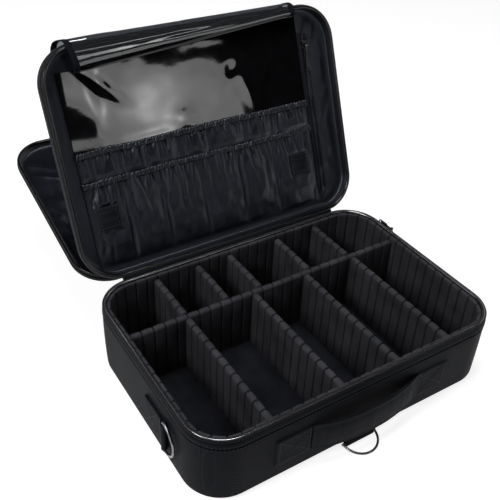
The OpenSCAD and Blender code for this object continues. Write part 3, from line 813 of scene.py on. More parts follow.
class TRAINCASE_OT_handle(bpy.types.Operator):
    """Padded webbing handle, sewn to the front at both ends"""

    bl_idname = "train_case.handle"
    bl_label = "Handle"

    def execute(self, context):
        grip = new_piece("handle_padding", padded_strap(-GRIP_HALF, GRIP_HALF, 61), "tape",
                         body="handle", replaces=("handle_grip",), sharp=50)
        for side, name in ((-1, "left"), (1, "right")):
            x0, x1 = sorted((side * (HANDLE_HALF + 1), side * (GRIP_HALF - 0.4)))
            run = new_piece(f"handle_strap_{name}", padded_strap(x0, x1, 30), "tape",
                            replaces=(f"handle_run_{name}",), sharp=50)
            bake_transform(run)
            lo, hi = low(f"handle_end_{name}"), high(f"handle_end_{name}")
            x, z = plate_grid(lo[0], hi[0], lo[2], hi[2], 1.5)
            rise = pillow(x, z, 1.6)
            dimple = 0.25 * np.exp(-((np.abs((x - lo[0]) / 46 - (z - lo[2]) / 38)) / 0.05) ** 2)
            front = -CASE_D / 2 - 0.3 - (hi[1] - lo[1]) * (0.45 + 0.55 * rise) + dimple * rise
            top = np.stack([x, front, z], -1)
            bottom = np.stack([x, np.full(x.shape, -CASE_D / 2 - 0.3), z], -1)
            new_piece(f"handle_patch_{name}", slab(top, bottom), "tape",
                      body="body", replaces=(f"handle_end_{name}",))
        return {"FINISHED"}


WEBBING_W, WEBBING_T = 38.0, 1.4


def tab_shape(reach):
    """Webbing loop round a ring's bar at the origin, in the plane of Y (sewn end) and Z (out)."""
    turn = np.radians(np.linspace(-115, 130, 16))
    loop = np.column_stack([-2.75 * np.cos(turn), 2.75 * np.sin(turn)])
    foot = np.column_stack([np.linspace(reach, 3.5, 14), np.full(14, -2.85)])
    back = np.array([(4.0, 1.1), (7.0, -0.4), (11.0, -1.25)])
    if reach > 14:
        back = np.vstack([back, np.column_stack([np.linspace(15, reach - 0.5, 8), np.full(8, -1.3)])])
    line = smooth_line(np.vstack([foot, loop, back]), 1.2)
    centres = np.column_stack([0 * line[:, 0], line])
    return strip(centres, (1.0, 0, 0), WEBBING_W, WEBBING_T)


class TRAINCASE_OT_rings(bpy.types.Operator):
    """Webbing tabs for the three D-rings, and the plating of the rings, sliders and pulls"""

    bl_idname = "train_case.rings"
    bl_label = "Rings and tabs"

    def execute(self, context):
        for node, obj in frame["nodes"].items():
            metal = node.startswith("d_ring") or node.endswith(("slider", "pull"))
            kind = "metal" if metal else "board" if node == "base_board" else None
            if kind:
                obj.data.materials.clear()
                obj.data.materials.append(finish(kind))
        for side, name in ((-1, "left"), (1, "right")):
            pin = joint_at(f"ring_{name}_swing")
            points, faces = tab_shape(high("ring_tab_right")[1] - pin[1])
            turned_points = np.column_stack([points[:, 2] * side, points[:, 1], points[:, 0]]) + pin
            new_piece(f"side_tab_{name}", (turned_points, faces), "tape",
                      body="body", replaces=(f"ring_tab_{name}",))
        pin = joint_at("ring_front_swing")
        points, faces = tab_shape(high("ring_tab_front")[2] - pin[2])
        turned_points = np.column_stack([points[:, 0], -points[:, 2], points[:, 1]]) + pin
        new_piece("front_tab", (turned_points, faces), "tape",
                  body="body", replaces=("ring_tab_front",))
        return {"FINISHED"}


# ---- piping and zipper tapes -----------------------------------------


class TRAINCASE_OT_piping(bpy.types.Operator):
    """Vinyl beads round the rims of body, leaf and lid"""

    bl_idname = "train_case.piping"
    bl_label = "Piping"

    def execute(self, context):
        # The body bead's finish has a lightened colour: a painted highlight.
        new_piece("body_bead", bead(BODY_RIM, 3.2, WALL_TOP + 2.1, 1.8), "bead",
                  body="body", replaces=("body_piping",))
        for name, rim, up, where, body, node in (
                ("leaf_bead_front", LEAF_RIM, RIM_N - 1.6, LEAF, "leaf", "leaf_front_piping"),
                ("leaf_bead_rear", LEAF_RIM, BACK_N + 1.6, LEAF, "leaf", "leaf_rear_piping"),
                ("lid_bead", LID_RIM, RIM_N - 1.6, LID, "lid", "lid_piping")):
            new_piece(name, bead(rim, 2.4, up, 1.6), "piping",
                      where=where, body=body, replaces=(node,))
        return {"FINISHED"}


# ---- brush leaf ------------------------------------------------------


class TRAINCASE_OT_leaf(bpy.types.Operator):
    """Side band of the brush leaf, its zipper tapes and its satin-covered board"""

    bl_idname = "train_case.leaf"
    bl_label = "Leaf"

    def execute(self, context):
        crease = context.scene.train_case_sizes.crease * MM
        wall = [(-0.4, -4.2), (0.5, -4.9), (0.7, -7.5), (0.7, -9.2), (-0.2, -9.9), (-0.2, -10.4), (0.6, -11.1),
                (0.6, -14.5), (0.4, -16.6), (-0.4, -17.3), (-1.9, -17.2), (-1.9, -4.3)]
        new_piece("leaf_side_band", band(LEAF_RIM, wall), "tape",
                  where=LEAF, body="leaf", replaces=("leaf_wall",))
        tapes = [band(LEAF_RIM, tape_profile(n)) for n in (RIM_N, BACK_N + 3.2)]
        new_piece("leaf_tape_cloth", joined(*tapes), "tape",
                  where=LEAF, body="leaf", replaces=("leaf_zip_tapes",))

        rim = LEAF_RIM
        u = rim.stations(3.2, 14)

        def relief(x, y, share):
            """Creases outside the field that the pockets and the backing cover."""
            covered = np.minimum.reduce([x + 180, 152 - x, y - 12, 256 - y])
            free = np.clip(-covered / 5, 0, 1) * np.clip(share * 12 + 0.2, 0, 1)
            return crease * free * (creases(x, y, 62, 70, 13, 41) + 0.6 * creases(x, y, 115, 50, 10, 43))

        rings = rim.filled(rim.ring(u, -5.0, BACK_N + 4.2), np.linspace(1, 0, 14),
                           lambda x, y, share: 0.3 * soft_noise(x / 30, y / 30, 31))
        rings += rim.rings(u, [
            (-2.6, BACK_N + 4.0), (-2.2, BACK_N + 3.6), (-2.1, -16), (-2.1, -5.2), (-2.6, -4.4), (-3.4, -4.6),
            (-4.0, -6), (-4.3, -8.5), (-4.6, -11), (-5.4, -12.8), (-7, -13.6)])
        rings += rim.filled(rim.ring(u, -9.5, BOARD_N), np.linspace(0, 1, 44), relief)
        new_piece("leaf_lining", loft(rings), "satin",
                  where=LEAF, body="leaf", replaces=("leaf_board",))
        return {"FINISHED"}


class TRAINCASE_OT_backing(bpy.types.Operator):
    """Glossy wipe-clean backing above the brush pockets, and the welt over its seam"""

    bl_idname = "train_case.backing"
    bl_label = "Backing"

    def execute(self, context):
        x, s = plate_grid(low("leaf_backing")[0], high("leaf_backing")[0], 150, SEAM_S + 4, 1.6)
        s = s + (seam_shift(x) - 1) * np.clip((s - 215) / (SEAM_S + 4 - 215), 0, 1)
        wave = 0.26 * soft_noise(x / 44, s / 38, 51) + 0.07 * soft_noise(x / 19, s / 17, 52)
        wave += 2.4 / (1 + np.exp(-(s - 193) / 13)) * np.exp(-((x + 162) / 27) ** 4)
        for bulge in ((-131, 229, 32, 6.5, -0.7, -44), (-32, 167, 17, 15, 0.8, 0), (14, 258, 42, 11, 0.5, 0),
                      (62, 190, 8, 26, 0.5, 20), (44, 214, 10, 9, -0.3, 0), (-80, 154, 40, 7, 0.5, 0)):
            wave += swell(x, s, *bulge)
        top = grid_points(x, s, BACKING_N + 1.0 + np.clip(wave, -0.7, 3))
        new_piece("gloss_backing", slab(top, grid_points(x, s, BACKING_N)), "vinyl",
                  where=LEAF, body="leaf", replaces=("leaf_backing",))
        x = np.linspace(low("flap_welt")[0], high("flap_welt")[0], 40)
        line = np.column_stack([x, SEAM_S + 0.9 + seam_shift(x), np.full(40, -11.3)])
        new_piece("flap_seam_welt", strip(line, (0, 1.0, 0), 3.4, 2.6, 0.6), "piping",
                  where=LEAF, body="leaf", replaces=("flap_welt",))
        return {"FINISHED"}


def gathers(x, s, low_s, high_s, seams, per_pocket, reach, seed):
    """Depth share of the pulled folds: sharp valleys that run down from the hem and fade out."""
    rng = np.random.default_rng(seed)
    t = np.clip((s - low_s) / (high_s - low_s), 0, 1)
    depth = np.zeros_like(x)
    for a, b in zip(seams, seams[1:]):
        inside = (x >= a) & (x <= b)
        count = max(2, round(per_pocket * (b - a) / 53))
        u = (x - a) / (b - a)
        fan = 1 + rng.uniform(-0.25, 0.1) * (1 - t)
        turn = count * ((u - 0.5) * fan + 0.5) + rng.uniform(0, 1)
        turn += 0.32 * soft_noise(x / 11, s / 23, seed + 3) + rng.uniform(-0.5, 0.5) * (1 - t)
        run = reach * (0.62 + 0.5 * soft_noise(turn.round() * 1.7 + a, 0 * x, seed + 4))
        fade = np.clip(1 - (1 - t) / run, 0, 1) ** 1.2
        depth = np.where(inside, fade * (1 - np.abs(np.sin(math.pi * turn)) ** 0.75), depth)
    return depth


def pocket_row(name, low_s, high_s, seams, deep, per_pocket, reach, seed, node, fold):
    x, s = plate_grid(seams[0], seams[-1], low_s, high_s, 0.9)
    t = (s - low_s) / (high_s - low_s)
    body = np.zeros_like(x)
    for a, b in zip(seams, seams[1:]):
        u = np.clip((x - a) / (b - a), 0, 1)
        body = np.where((x >= a) & (x <= b), (4 * u * (1 - u)) ** 0.62, body)
    near = np.min([np.abs(x - a) for a in seams], axis=0)
    sewn = np.clip(near / 3.4, 0, 1) ** 0.8
    rise = np.clip(t / 0.25, 0, 1) ** 0.7 * (1 - 0.4 * np.clip((t - 0.7) / 0.3, 0, 1) ** 2)
    surface = deep * (0.2 + 0.8 * body * rise)
    surface += fold * (0.42 * soft_noise(x / 15, s / 27, seed + 1) + 0.16 * soft_noise(x / 7, s / 12, seed + 5))
    surface -= fold * 0.95 * gathers(x, s, low_s, high_s, seams, 3, 1.15, seed + 20)
    surface -= fold * 0.6 * gathers(x, s, low_s, high_s, seams, per_pocket, reach, seed + 40)
    surface *= sewn * np.clip(t / 0.05, 0, 1) ** 0.5
    surface = np.clip(surface, 0.25, deep + 0.9)
    for centre in PATCH_X:
        under = np.clip((17 - np.abs(x - centre)) / 3.5, 0, 1) * np.clip((18 - np.abs(s - PATCH_S)) / 3.5, 0, 1)
        surface += under * (PATCH_N + 0.2 - POCKET_N - surface)
    shape = slab(grid_points(x, s, POCKET_N + surface), grid_points(x, s, POCKET_N))
    piece = new_piece(name, shape, "satin",
                      where=LEAF, body="leaf", replaces=(node,), sharp=70)


def elastic(s_mid, tall, thick, seed):
    """Gathered elastic hem: a flat tube with close ruffles and a wavering edge."""
    n = 760
    x = np.linspace(-176, 148, n)
    turn = x / 4.3 + 0.5 * soft_noise(x / 9, x * 0, seed)
    ruffle = 1 - 2 * (1 - np.abs(np.sin(math.pi * turn))) ** 1.4
    drift = 0.8 * soft_noise(x / 34, x * 0 + 3, seed + 1)
    bulk = thick / 2 * (1 + 0.42 * ruffle + 0.2 * soft_noise(x / 3, x * 0 + 9, seed + 3))
    hgt = tall / 2 * (1 + 0.12 * ruffle + 0.12 * soft_noise(x / 5, x * 0, seed + 2))
    base = POCKET_N + 0.5 + thick / 2
    rings = []
    for a in np.linspace(0, 2 * math.pi, 14, endpoint=False):
        up, out = math.sin(a), math.cos(a)
        waist = 1 - 0.28 * math.exp(-(up / 0.3) ** 2) if out > 0 else 1
        rings.append(np.column_stack([
            x + 1.1 * up * np.sign(soft_noise(turn.round() * 2.3, 0 * x, seed + 4)), s_mid + drift + hgt * up,
            base + 0.35 * np.sin(x * 2 * math.pi / 7.3 + seed) + bulk * out * waist]))
    return swept(rings)


POCKET_SEAMS = [-176, -128, -77, -24, 33, 85, 148]
PATCH_X, PATCH_S, PATCH_N = (-154, 121), 75, -9.4         # middles and underside of the hook patches
PATCH_W, PATCH_H = 13, 14                                 # half sizes of hook and loop patches
LOOP_X, LOOP_S = (-140, 112), 153
ZIP_X, ZIP_S = 157, (26, 242)                             # zipper of the flat pocket
UPPER_SEAMS = [-176, -160, -124, -97, -42, -4, 47, 100, 148]


class TRAINCASE_OT_pockets(bpy.types.Operator):
    """Two rows of gathered brush pockets with their elastic hems"""

    bl_idname = "train_case.pockets"
    bl_label = "Brush pockets"

    def execute(self, context):
        fold = context.scene.train_case_sizes.pocket_fold * MM
        pocket_row("pocket_row_lower", 16, 117.5, POCKET_SEAMS, 5.5, 7, 0.6, 61, "pocket_lower", fold * 1.15)
        pocket_row("pocket_row_upper", 118.5, 152, UPPER_SEAMS, 4.4, 9, 1.0, 71, "pocket_upper", fold * 1.05)
        new_piece("elastic_hem_lower", elastic(117.2, 7.4, 3.4, 81), "satin",
                  where=LEAF, body="leaf", sharp=80)
        new_piece("elastic_hem_upper", elastic(152.2, 7.0, 3.2, 83), "satin",
                  where=LEAF, body="leaf", sharp=80)
        return {"FINISHED"}


def pad_patch(middle, s, base, thick):
    x, y = plate_grid(middle - PATCH_W, middle + PATCH_W, s - PATCH_H, s + PATCH_H, 1.2)
    rise = base + thick * (0.35 + 0.65 * pillow(x, y, 1.4)) + 0.12 * soft_noise(x / 2, y / 2, 91)
    return slab(grid_points(x, y, rise), grid_points(x, y, base))


class TRAINCASE_OT_patches(bpy.types.Operator):
    """Hook patches on the outer pockets, and the zipped pocket's tape beside them"""

    bl_idname = "train_case.patches"
    bl_label = "Patches and pocket zipper"

    def execute(self, context):
        patches = [pad_patch(middle, PATCH_S, PATCH_N, 1.9) for middle in PATCH_X]
        new_piece("pocket_hook_patches", joined(*patches), "pile",
                  where=LEAF, body="leaf", replaces=("hook_patches",))
        x, s = plate_grid(ZIP_X - 7, ZIP_X + 7, *ZIP_S, 1.4)
        rise = 0.75 * pillow(x, s, 0.9) + 0.45 * np.exp(-((np.abs(x - ZIP_X) - 4.6) / 0.8) ** 2)
        rise -= 0.45 * np.exp(-((x - ZIP_X) / 1.3) ** 2)
        rise += 0.12 * soft_noise(x / 12, s / 22, 95)
        top = grid_points(x, s, BACKING_N + 0.25 + rise)
        new_piece("pocket_zip_cloth", slab(top, grid_points(x, s, BACKING_N)), "tape",
                  where=LEAF, body="leaf", replaces=("pocket_zip_tape",))
        return {"FINISHED"}


# ---- clear flap over the leaf's far edge -----------------------------

FLAP_LINE = [(250.4, -9.2), (251.6, -5.6), (253.4, -2.9), (256, -1.8), (259.5, -1.35), (263, -1.15), (264.8, -1.5),
             (266.2, -0.75), (268.5, -0.3), (272, 0.0), (275.2, 0.35), (278.3, -0.9), (280.4, -5), (280.8, -12),
             (279.6, -18.6), (274.5, -23), (265, -24.5), (254, -24.7), (243, -23.8), (230, -22.9), (205, -22.5),
             (165, -22.4), (131.5, -22.2)]
FLAP_CUT = 0.245                        # share of the line in front of the middle of the fold
FLAP_X = (-156, 142)                    # ends of the flap's seam
BINDING_W = 7.0


def flap_path(first, last):
    """Part of the flap's line, as (s, n) points with normals and shares of the whole line."""
    line = smooth_line(FLAP_LINE, 2.0)
    share = np.linspace(0, 1, len(line))
    keep = (share >= first - 1e-9) & (share <= last + 1e-9)
    tangent = unit(np.gradient(line, axis=0))
    normal = np.column_stack([-tangent[:, 1], tangent[:, 0]])
    return line[keep], normal[keep], share[keep]


def seam_shift(x):
    """The flap's seam climbs towards the right, and its front part narrows with it."""
    return np.clip(-6.2 + 0.072 * (x - FLAP_X[0]), -6.2, 14)


def seam_swell(x, s):
    """Rise of the front part: fuller at the left end, and without its crease towards the right."""
    right = eased(np.clip((x + 30) / 85, 0, 1))
    ahead = np.clip((s - 251.5) / 8, 0, 1) * np.clip((275 - s) / 6, 0, 1)
    flat = np.interp(s, [251.6, 253.4, 256, 259.5, 263, 264.8, 266.2, 268.5, 272, 275.2],
                     [0, 1.1, 2.4, 2.6, 2.35, 2.6, 1.7, 1.0, 0.35, -0.35])
    return ahead * 2.1 * (1 - right) + flat * right


def flap_edges(share):
    """The flap's left edge drifts outwards as it goes over the leaf's edge."""
    ease = eased(np.clip(share / 0.42, 0, 1))
    return FLAP_X[0] - 20 * ease, FLAP_X[1] - 6 * ease


def front_share(line):
    """1 at the flap's seam and 0 from the fold onwards."""
    folded = np.arange(len(line)) >= np.argmax(line[:, 0]) if line[0, 1] > -14 else np.ones(len(line), bool)
    return np.where(folded, 0, np.clip((279 - line[:, 0]) / (279 - 250.4), 0, 1))


def flap_sheet(first, last):
    line, normal, share = flap_path(first, last)
    left, right = flap_edges(share)
    across = np.linspace(0, 1, 110)
    x = left[:, None] + 3 + (right - left - 6)[:, None] * across
    s = np.broadcast_to(share[:, None], x.shape)
    lift = 0.7 * soft_noise(x / 60, s * 9, 101) + 0.3 * soft_noise(x / 24, s * 20, 102)
    lift *= np.clip(0.5 - x / 80, 0.05, 1)
    lift *= np.clip(s * 14, 0, 1) * np.clip(np.minimum(across, 1 - across)[None] * 14, 0, 1)
    along, out = line[:, None, 0] + normal[:, None, 0] * lift, line[:, None, 1] + normal[:, None, 1] * lift
    along = along + seam_shift(x) * front_share(line)[:, None]
    mid = np.stack([x, along, out + seam_swell(x, line[:, :1])], -1)
    off = np.stack([0 * x, normal[:, None, 0] + 0 * x, normal[:, None, 1] + 0 * x], -1) * 0.3
    return slab(mid + off, mid - off)


def flap_binding(first, last, side):
    line, normal, share = flap_path(first, last)
    left, right = flap_edges(share)
    x = left + BINDING_W / 2 if side < 0 else right - BINDING_W / 2
    centres = np.column_stack([x, line])
    centres[:, 1] += seam_shift(x) * front_share(line)
    centres[:, 2] += seam_swell(x, line[:, 0])
    return strip(centres, (1.0, 0, 0), BINDING_W, 1.5, 0.5, np.column_stack([0 * share, normal]))


class TRAINCASE_OT_flap(bpy.types.Operator):
    """Clear flap with bound edges, sewn to the leaf and thrown back over its far edge"""

    bl_idname = "train_case.flap"
    bl_label = "Clear flap"

    def execute(self, context):
        parts = (
            ("front", 0, FLAP_CUT, "flap_near", "flap_over", (273, 1.2), (283, -2.5),
             ("flap_front",), ("flap_binding_front",)),
            ("rear", FLAP_CUT, 1, "flap_over", "flap_hanging", (283.6, -13), (271, -25.7),
             ("flap_bridge", "flap_rear"), ("flap_binding_bridge", "flap_binding_rear")),
        )
        for name, first, last, a, b, start, end, sheets, bindings in parts:
            sheet = new_piece(f"clear_flap_{name}", flap_sheet(first, last), "clear",
                              where=LEAF, replaces=sheets)
            edges = [flap_binding(first, last, side) for side in (-1, 1)]
            left, right = flap_edges(0.0 if name == "front" else 1.0)
            x = np.linspace(left, right, 60)
            if name == "front":
                bar = np.column_stack([x, 251.4 + seam_shift(x), np.full(60, -8.9)])
                edges.append(strip(bar, (0, 0.94, 0.35), 2.6, 1.3, 0.6))
            else:
                bar = np.column_stack([x, np.full(60, 135), np.full(60, -22.2)])
                edges.append(strip(bar, (0, 1.0, 0), BINDING_W, 1.6, 0.6))
            binding = new_piece(f"flap_binding_{name}_cloth", joined(*edges), "tape",
                                where=LEAF, replaces=bindings)
            for piece in (sheet, binding):
                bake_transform(piece)
        points, faces = joined(*[pad_patch(middle, LOOP_S, 0, 1.4) for middle in LOOP_X])
        points[:, 2] = -23.3 - points[:, 2] - (points[:, 1] - LOOP_S + PATCH_H) * 0.02
        new_piece("flap_loop_pads", (points, faces), "pile",
                  where=LEAF, body="flap_hanging", replaces=("flap_loop_patches",))
        return {"FINISHED"}


# ---- lid and hinges --------------------------------------------------


class TRAINCASE_OT_lid(bpy.types.Operator):
    """Outer lid: woven shell, zipper tape and creased satin lining"""

    bl_idname = "train_case.lid"
    bl_label = "Lid"

    def execute(self, context):
        crease = context.scene.train_case_sizes.crease * MM
        rim = LID_RIM
        u = rim.stations(4.0, 16)
        face = LID_FACE_N
        edge = [(-5 + 5 * math.sin(a), face + 5 - 5 * math.cos(a)) for a in np.linspace(0, math.pi / 2, 8)]
        outer = edge + [(0.15, -7), (0.2, -5.4), (-0.2, -4.9), (0.1, -4.5), (-0.4, -4.2)]
        inner = [(-1.9, -4.3), (-2, -9), (-5, face + 2.2)]
        under = rim.filled(rim.ring(u, -7, face), np.linspace(1, 0, 24),
                           lambda x, y, share: 0.5 * soft_noise(x / 70, y / 70, 111) * min(1, share * 6))
        rings = rim.rings(u, outer + inner)
        over = [rim.gathered(rings[-1], s) for s in (0.5, 1)]
        new_piece("lid_fabric", loft(under + rings + over), "weave",
                  where=LID, body="lid", replaces=("lid_shell",))
        new_piece("lid_tape_cloth", band(rim, tape_profile(RIM_N)), "tape",
                  where=LID, body="lid", replaces=("lid_zip_tape",))

        u = rim.stations(3.2, 14)
        base = rim.ring(u, -5.6, LID_FACE_N + 2.35)
        rings = [rim.gathered(base, s) for s in (1, 0.5)] + [base]
        rings += rim.rings(u, [(-2.3, -8.5), (-2.2, -5.0), (-2.7, -4.5), (-3.5, -4.8), (-4.4, -6.4), (-5.6, -8.4),
                               (-7.6, -9.4)])

        def relief(x, y, share):
            folds = 0.8 * creases(x, y, 148, 90, 17, 121) + 0.7 * creases(x, y, 75, 75, 15, 123)
            return crease * min(1, share * 9 + 0.15) * (folds + 0.5 * soft_noise(x / 34, y / 34, 125))

        rings += rim.filled(rim.ring(u, -10, LID_LINING_N), np.linspace(0, 1, 52), relief)
        new_piece("lid_satin", loft(rings), "satin",
                  where=LID, body="lid", replaces=("lid_lining",))
        return {"FINISHED"}


class TRAINCASE_OT_hinges(bpy.types.Operator):
    """Cloth hinges from body to leaf and from leaf to lid"""

    bl_idname = "train_case.hinges"
    bl_label = "Cloth hinges"

    def execute(self, context):
        half = 157.0                                  # the hinges' cloth ends at the round corners
        lip = CASE_D / 2 + 0.55

        def on_panel(where, *places):
            """Y and Z of (s, n) places on a panel."""
            return [tuple(placed([(0, s, n)], where)[0][1:]) for s, n in places]

        rear = [(lip, 77.5), (lip, 83), (lip + 0.1, 88.5)]
        rear += on_panel(LEAF, (0.55, -0.6), (0.95, -4), (0.95, -10), (0.95, -16), (0.95, -19.5))
        far = on_panel(LEAF, (0.2, -13.5), (0.2, -17), (0.25, -20.6))
        far += on_panel(LID, (0.45, -1.2), (0.7, -4), (0.7, -7.5))
        for parent, child, nodes, path, start, end in (
                ("body", "leaf", ("body_hinge_tape", "leaf_hinge_tape"), rear, (lip, 87),
                 on_panel(LEAF, (0.95, -5))[0]),
                ("leaf", "lid", ("lid_hinge_tape",), far, far[1], far[4])):
            line = smooth_line(path, 1.3)
            middle = np.stack([np.column_stack([np.full(len(line), x), line]) for x in np.linspace(-half, half, 61)])
            tangent = unit(np.gradient(line, axis=0))
            off = np.column_stack([0 * line[:, 0], -tangent[:, 1], tangent[:, 0]]) * 0.35
            piece = new_piece(f"cloth_hinge_{child}", slab(middle + off, middle - off), "tape",
                              replaces=nodes)
            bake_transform(piece)
        return {"FINISHED"}


# ---- stitching and coils ---------------------------------------------


class TRAINCASE_OT_stitches(bpy.types.Operator):
    """Rows of stitches on the seams, and the coils of the zippers"""

    bl_idname = "train_case.stitches"
    bl_label = "Stitches and coils"

    def execute(self, context):
        sizes = context.scene.train_case_sizes
        sewn = (sizes.stitch_pitch, sizes.stitch_length, sizes.thread)
        coil = (sizes.tooth_pitch, sizes.tooth_pitch * 0.72, 0.0022)
        thread, teeth = finish("thread"), finish("coil")
        lines = [rim_line(BODY_RIM, 0.45, 81.6), rim_line(BODY_RIM, 0.35, 76.6)]
        for name in ("left", "right"):
            lo, hi = low(f"handle_end_{name}"), high(f"handle_end_{name}")
            x0, x1, z0, z1, y = lo[0] + 4, hi[0] - 4, lo[2] + 4, hi[2] - 4, lo[1] - 0.05
            lines += sewn_box([(x0, y, z0), (x1, y, z0), (x1, y, z1), (x0, y, z1)])
        for side, name in ((-1, "left"), (1, "right")):
            pin = joint_at(f"ring_{name}_swing")
            x = side * (CASE_W / 2 + 3.35)
            y0, y1, z0, z1 = pin[1] + 17, pin[1] + 43, pin[2] - 15, pin[2] + 15
            lines += sewn_box([(x, y0, z0), (x, y1, z0), (x, y1, z1), (x, y0, z1)])
        row("body_stitching", lines, thread, "body", "webbing", *sewn)
        lines = [rim_line(LEAF_RIM, 0.72, -5.6, LEAF), rim_line(LEAF_RIM, 0.62, -13.6, LEAF)]
        a, b = PATCH_W - 2, PATCH_H - 2
        for middle in PATCH_X:
            corners = [(middle + x, PATCH_S + s, PATCH_N + 1.95) for x, s in ((-a, -b), (a, -b), (a, b), (-a, b))]
            lines += sewn_box(corners, LEAF, crossed=False)
        lines += [straight((x, 28, BACKING_N + 1.15), (x, 240, BACKING_N + 1.15), LEAF) for x in (151.6, 162.4)]
        row("leaf_stitching", lines, thread, "leaf", "webbing", *sewn)
        row("lid_stitching", [rim_line(LID_RIM, 0.2, -6.6, LID)], thread, "lid", "webbing", *sewn)
        row("body_zip_coil", [rim_line(BODY_RIM, -1.35, RIM_TOP - 0.9)], teeth, "body", "webbing", *coil)
        row("leaf_band_coil", [rim_line(LEAF_RIM, 0.85, -8.4, LEAF)], teeth, "leaf", "webbing",
            sizes.tooth_pitch * 1.5, sizes.tooth_pitch, 0.0019)
        lines = [rim_line(LEAF_RIM, -0.75, n, LEAF) for n in (RIM_N - 0.8, BACK_N + 0.8)]
        lines.append(straight((ZIP_X, 27, BACKING_N + 0.75), (ZIP_X, 240, BACKING_N + 0.75), LEAF))
        row("leaf_zip_coils", lines, teeth, "leaf", "webbing", *coil)
        row("lid_zip_coil", [rim_line(LID_RIM, -0.75, RIM_N - 0.8, LID)], teeth, "lid", "webbing", *coil)
        return {"FINISHED"}


# ---- stage -----------------------------------------------------------


def soft_box(name, place, target, wide, tall, radiance):
    lamp = bpy.data.lights.new(name, "AREA")
    lamp.shape, lamp.size, lamp.size_y = "RECTANGLE", wide, tall
    lamp.energy = radiance * math.pi * wide * tall
    holder = in_scene(name, lamp)
    holder.location = place
    holder.rotation_euler = (Vector(target) - Vector(place)).to_track_quat("-Z", "Y").to_euler()


HOT_R = 0.17                        # reach of the brighter spot, in metres


def glow_panel(name, centre, wide, tall, roll, level, peak, hot):
    """Upright lamp panel that faces the case, with a brighter spot in it."""
    c, n = math.cos(math.radians(roll)), math.sin(math.radians(roll))
    corners = [(a * wide / 2, b * tall / 2) for a, b in ((-1, -1), (1, -1), (1, 1), (-1, 1))]
    mesh = bpy.data.meshes.new(name)
    mesh.from_pydata([(centre[0] + p * c - q * n, centre[1], centre[2] + p * n + q * c) for p, q in corners],
                     [], [(0, 1, 2, 3)])
    material, tree, shader = finish_nodes(name + "_cloth")
    tree.nodes.remove(shader)
    turn = tree.nodes.new("ShaderNodeMapping")
    turn.vector_type = "TEXTURE"
    fill(tree, turn, [("Vector", object_place(tree)), ("Location", hot), ("Scale", (HOT_R, HOT_R, HOT_R))])
    ball = tree.nodes.new("ShaderNodeTexGradient")
    ball.gradient_type = "QUADRATIC_SPHERE"
    fill(tree, ball, [("Vector", turn.outputs["Vector"])])
    cloud = maths(tree, "ADD", maths(tree, "MULTIPLY", object_noise(tree, 5.0, 2), 1.6), 0.2)
    strength = maths(tree, "ADD", maths(tree, "MULTIPLY", ball.outputs["Fac"], peak),
                     maths(tree, "MULTIPLY", cloud, level))
    glow = new_node(tree, "ShaderNodeEmission", "Emission", Strength=strength)
    fill(tree, tree.nodes["Material Output"], [("Surface", glow)])
    mesh.materials.append(material)
    panel = in_scene(name, mesh)
    panel.visible_camera = False


def dark_flags():
    """Black cloths in front of and above the case, which only reflections show."""
    mesh = bpy.data.meshes.new("dark_flags")
    edges = ((-1.9, 0.02), (-1.9, 2.3), (4, 2.3), (4, 0.5))
    mesh.from_pydata([(x, y, z) for y, z in edges for x in (-2.2, 3.6)], [],
                     [(0, 1, 3, 2), (2, 3, 5, 4), (4, 5, 7, 6)])
    material, tree, shader = finish_nodes("flag_cloth")
    fill(tree, shader, [("Base Color", (0.004, 0.004, 0.004, 1)), ("Specular IOR Level", 0.0)])
    mesh.materials.append(material)
    flags = in_scene("dark_flags", mesh)
    flags.visible_camera = flags.visible_diffuse = flags.visible_transmission = flags.visible_shadow = False


CAMERA_AT = (-0.40852, -0.51051, 0.64137)
CAMERA_TURN = (-33.695, 36.217, 2.740)                # round Z from the front, upwards, and rolled
LENS = 52.32
FLOOR_R, FLOOR_SHADE, FLOOR_GLOW = 9.0, (0.45, 0.45, 0.45, 1), 0.82


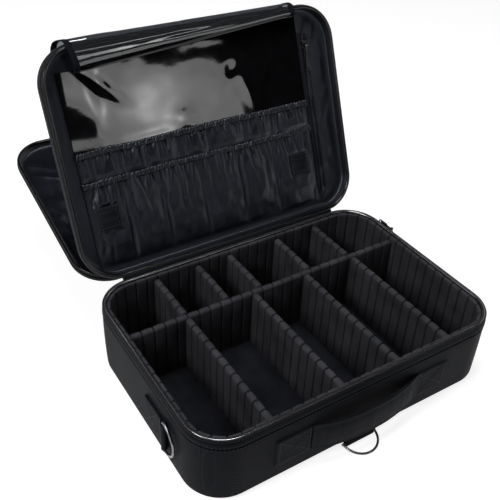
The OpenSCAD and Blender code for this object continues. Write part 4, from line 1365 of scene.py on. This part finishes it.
class TRAINCASE_OT_stage(bpy.types.Operator):
    """Floor, lamps, world and camera"""

    bl_idname = "train_case.stage"
    bl_label = "Stage"

    def execute(self, context):
        scene = context.scene
        a, e, roll = (math.radians(angle) for angle in CAMERA_TURN)
        back = Vector((math.sin(a) * math.cos(e), -math.cos(a) * math.cos(e), math.sin(e)))
        level = Vector((math.cos(a), math.sin(a), 0))
        rise = back.cross(level)
        right = level * math.cos(roll) + rise * math.sin(roll)
        up = rise * math.cos(roll) - level * math.sin(roll)
        camera = in_scene("camera", bpy.data.cameras.new("camera"))
        camera.data.sensor_width = 36.0
        camera.data.lens = LENS
        pose = Matrix((right, up, back)).transposed().to_4x4()
        pose.translation = CAMERA_AT
        camera.matrix_world = pose
        scene.camera = camera

        mesh = bpy.data.meshes.new("studio_floor")
        turn = np.arange(64) * 2 * math.pi / 64
        ring = np.column_stack([np.cos(turn), np.sin(turn), 0 * turn]) * FLOOR_R
        mesh.from_pydata(ring.tolist(), [], [tuple(range(64))])
        material, tree, shader = finish_nodes("floor_paper")
        fill(tree, shader, [("Base Color", FLOOR_SHADE), ("Roughness", 0.9), ("Specular IOR Level", 0.1)])
        glow = new_node(tree, "ShaderNodeEmission", "Emission",
                        Strength=maths(tree, "MULTIPLY", seen_directly(tree), FLOOR_GLOW))
        both = tree.nodes.new("ShaderNodeAddShader")
        fill(tree, both, [(0, shader.outputs["BSDF"]), (1, glow)])
        fill(tree, tree.nodes["Material Output"], [("Surface", both.outputs["Shader"])])
        mesh.materials.append(material)
        in_scene("studio_floor", mesh)

        world = bpy.data.worlds.new("studio")
        scene.world = world
        world.use_nodes = True
        tree = world.node_tree
        fill(tree, tree.nodes["Background"], [
            ("Color", (1, 1, 1, 1)), ("Strength", between(tree, seen_directly(tree), 0.10, 1.0))])

        glow_panel("front_panel", (0.56, -1.2, 0.69), 0.665, 0.272, -9.0, 1.9, 3.8, (0.536, -1.2, 0.703))
        soft_box("left_box", (-1.35, -0.1, 1.25), (0, 0.05, 0.15), 0.55, 0.5, 16.0)
        soft_box("top_box", (0.0, 0.1, 1.7), (0, 0, 0.1), 0.65, 0.5, 14.0)
        dark_flags()
        scene.view_settings.view_transform = "Standard"
        return {"FINISHED"}


# ---- registration ----------------------------------------------------


class TRAINCASE_PT_panel(bpy.types.Panel):
    bl_label = "Train Case"
    bl_idname = "TRAINCASE_PT_panel"
    bl_space_type = "VIEW_3D"
    bl_region_type = "UI"
    bl_category = "Train Case"

    def draw(self, context):
        for group in (context.scene.train_case_sizes, context.scene.train_case_colours):
            for name in group.bl_rna.properties.keys():
                if name not in ("rna_type", "name"):
                    self.layout.prop(group, name)
        for operator in OPERATORS:
            self.layout.operator(operator.bl_idname)


OPERATORS = (
    TRAINCASE_OT_stage, TRAINCASE_OT_shell, TRAINCASE_OT_liner, TRAINCASE_OT_dividers, TRAINCASE_OT_handle,
    TRAINCASE_OT_rings, TRAINCASE_OT_piping, TRAINCASE_OT_leaf, TRAINCASE_OT_backing, TRAINCASE_OT_pockets,
    TRAINCASE_OT_patches, TRAINCASE_OT_flap, TRAINCASE_OT_lid, TRAINCASE_OT_hinges, TRAINCASE_OT_stitches,
)
CLASSES = (TrainCaseSizes, TrainCaseColours, *OPERATORS, TRAINCASE_PT_panel)


def register():
    for cls in CLASSES:
        bpy.utils.register_class(cls)
    bpy.types.Scene.train_case_sizes = bpy.props.PointerProperty(type=TrainCaseSizes)
    bpy.types.Scene.train_case_colours = bpy.props.PointerProperty(type=TrainCaseColours)


def unregister():
    del bpy.types.Scene.train_case_colours
    del bpy.types.Scene.train_case_sizes
    for cls in reversed(CLASSES):
        bpy.utils.unregister_class(cls)


def main():
    register()
    for operator in OPERATORS:
        getattr(bpy.ops.train_case, operator.bl_idname.split(".")[1])()


if __name__ == "__main__":
    main()
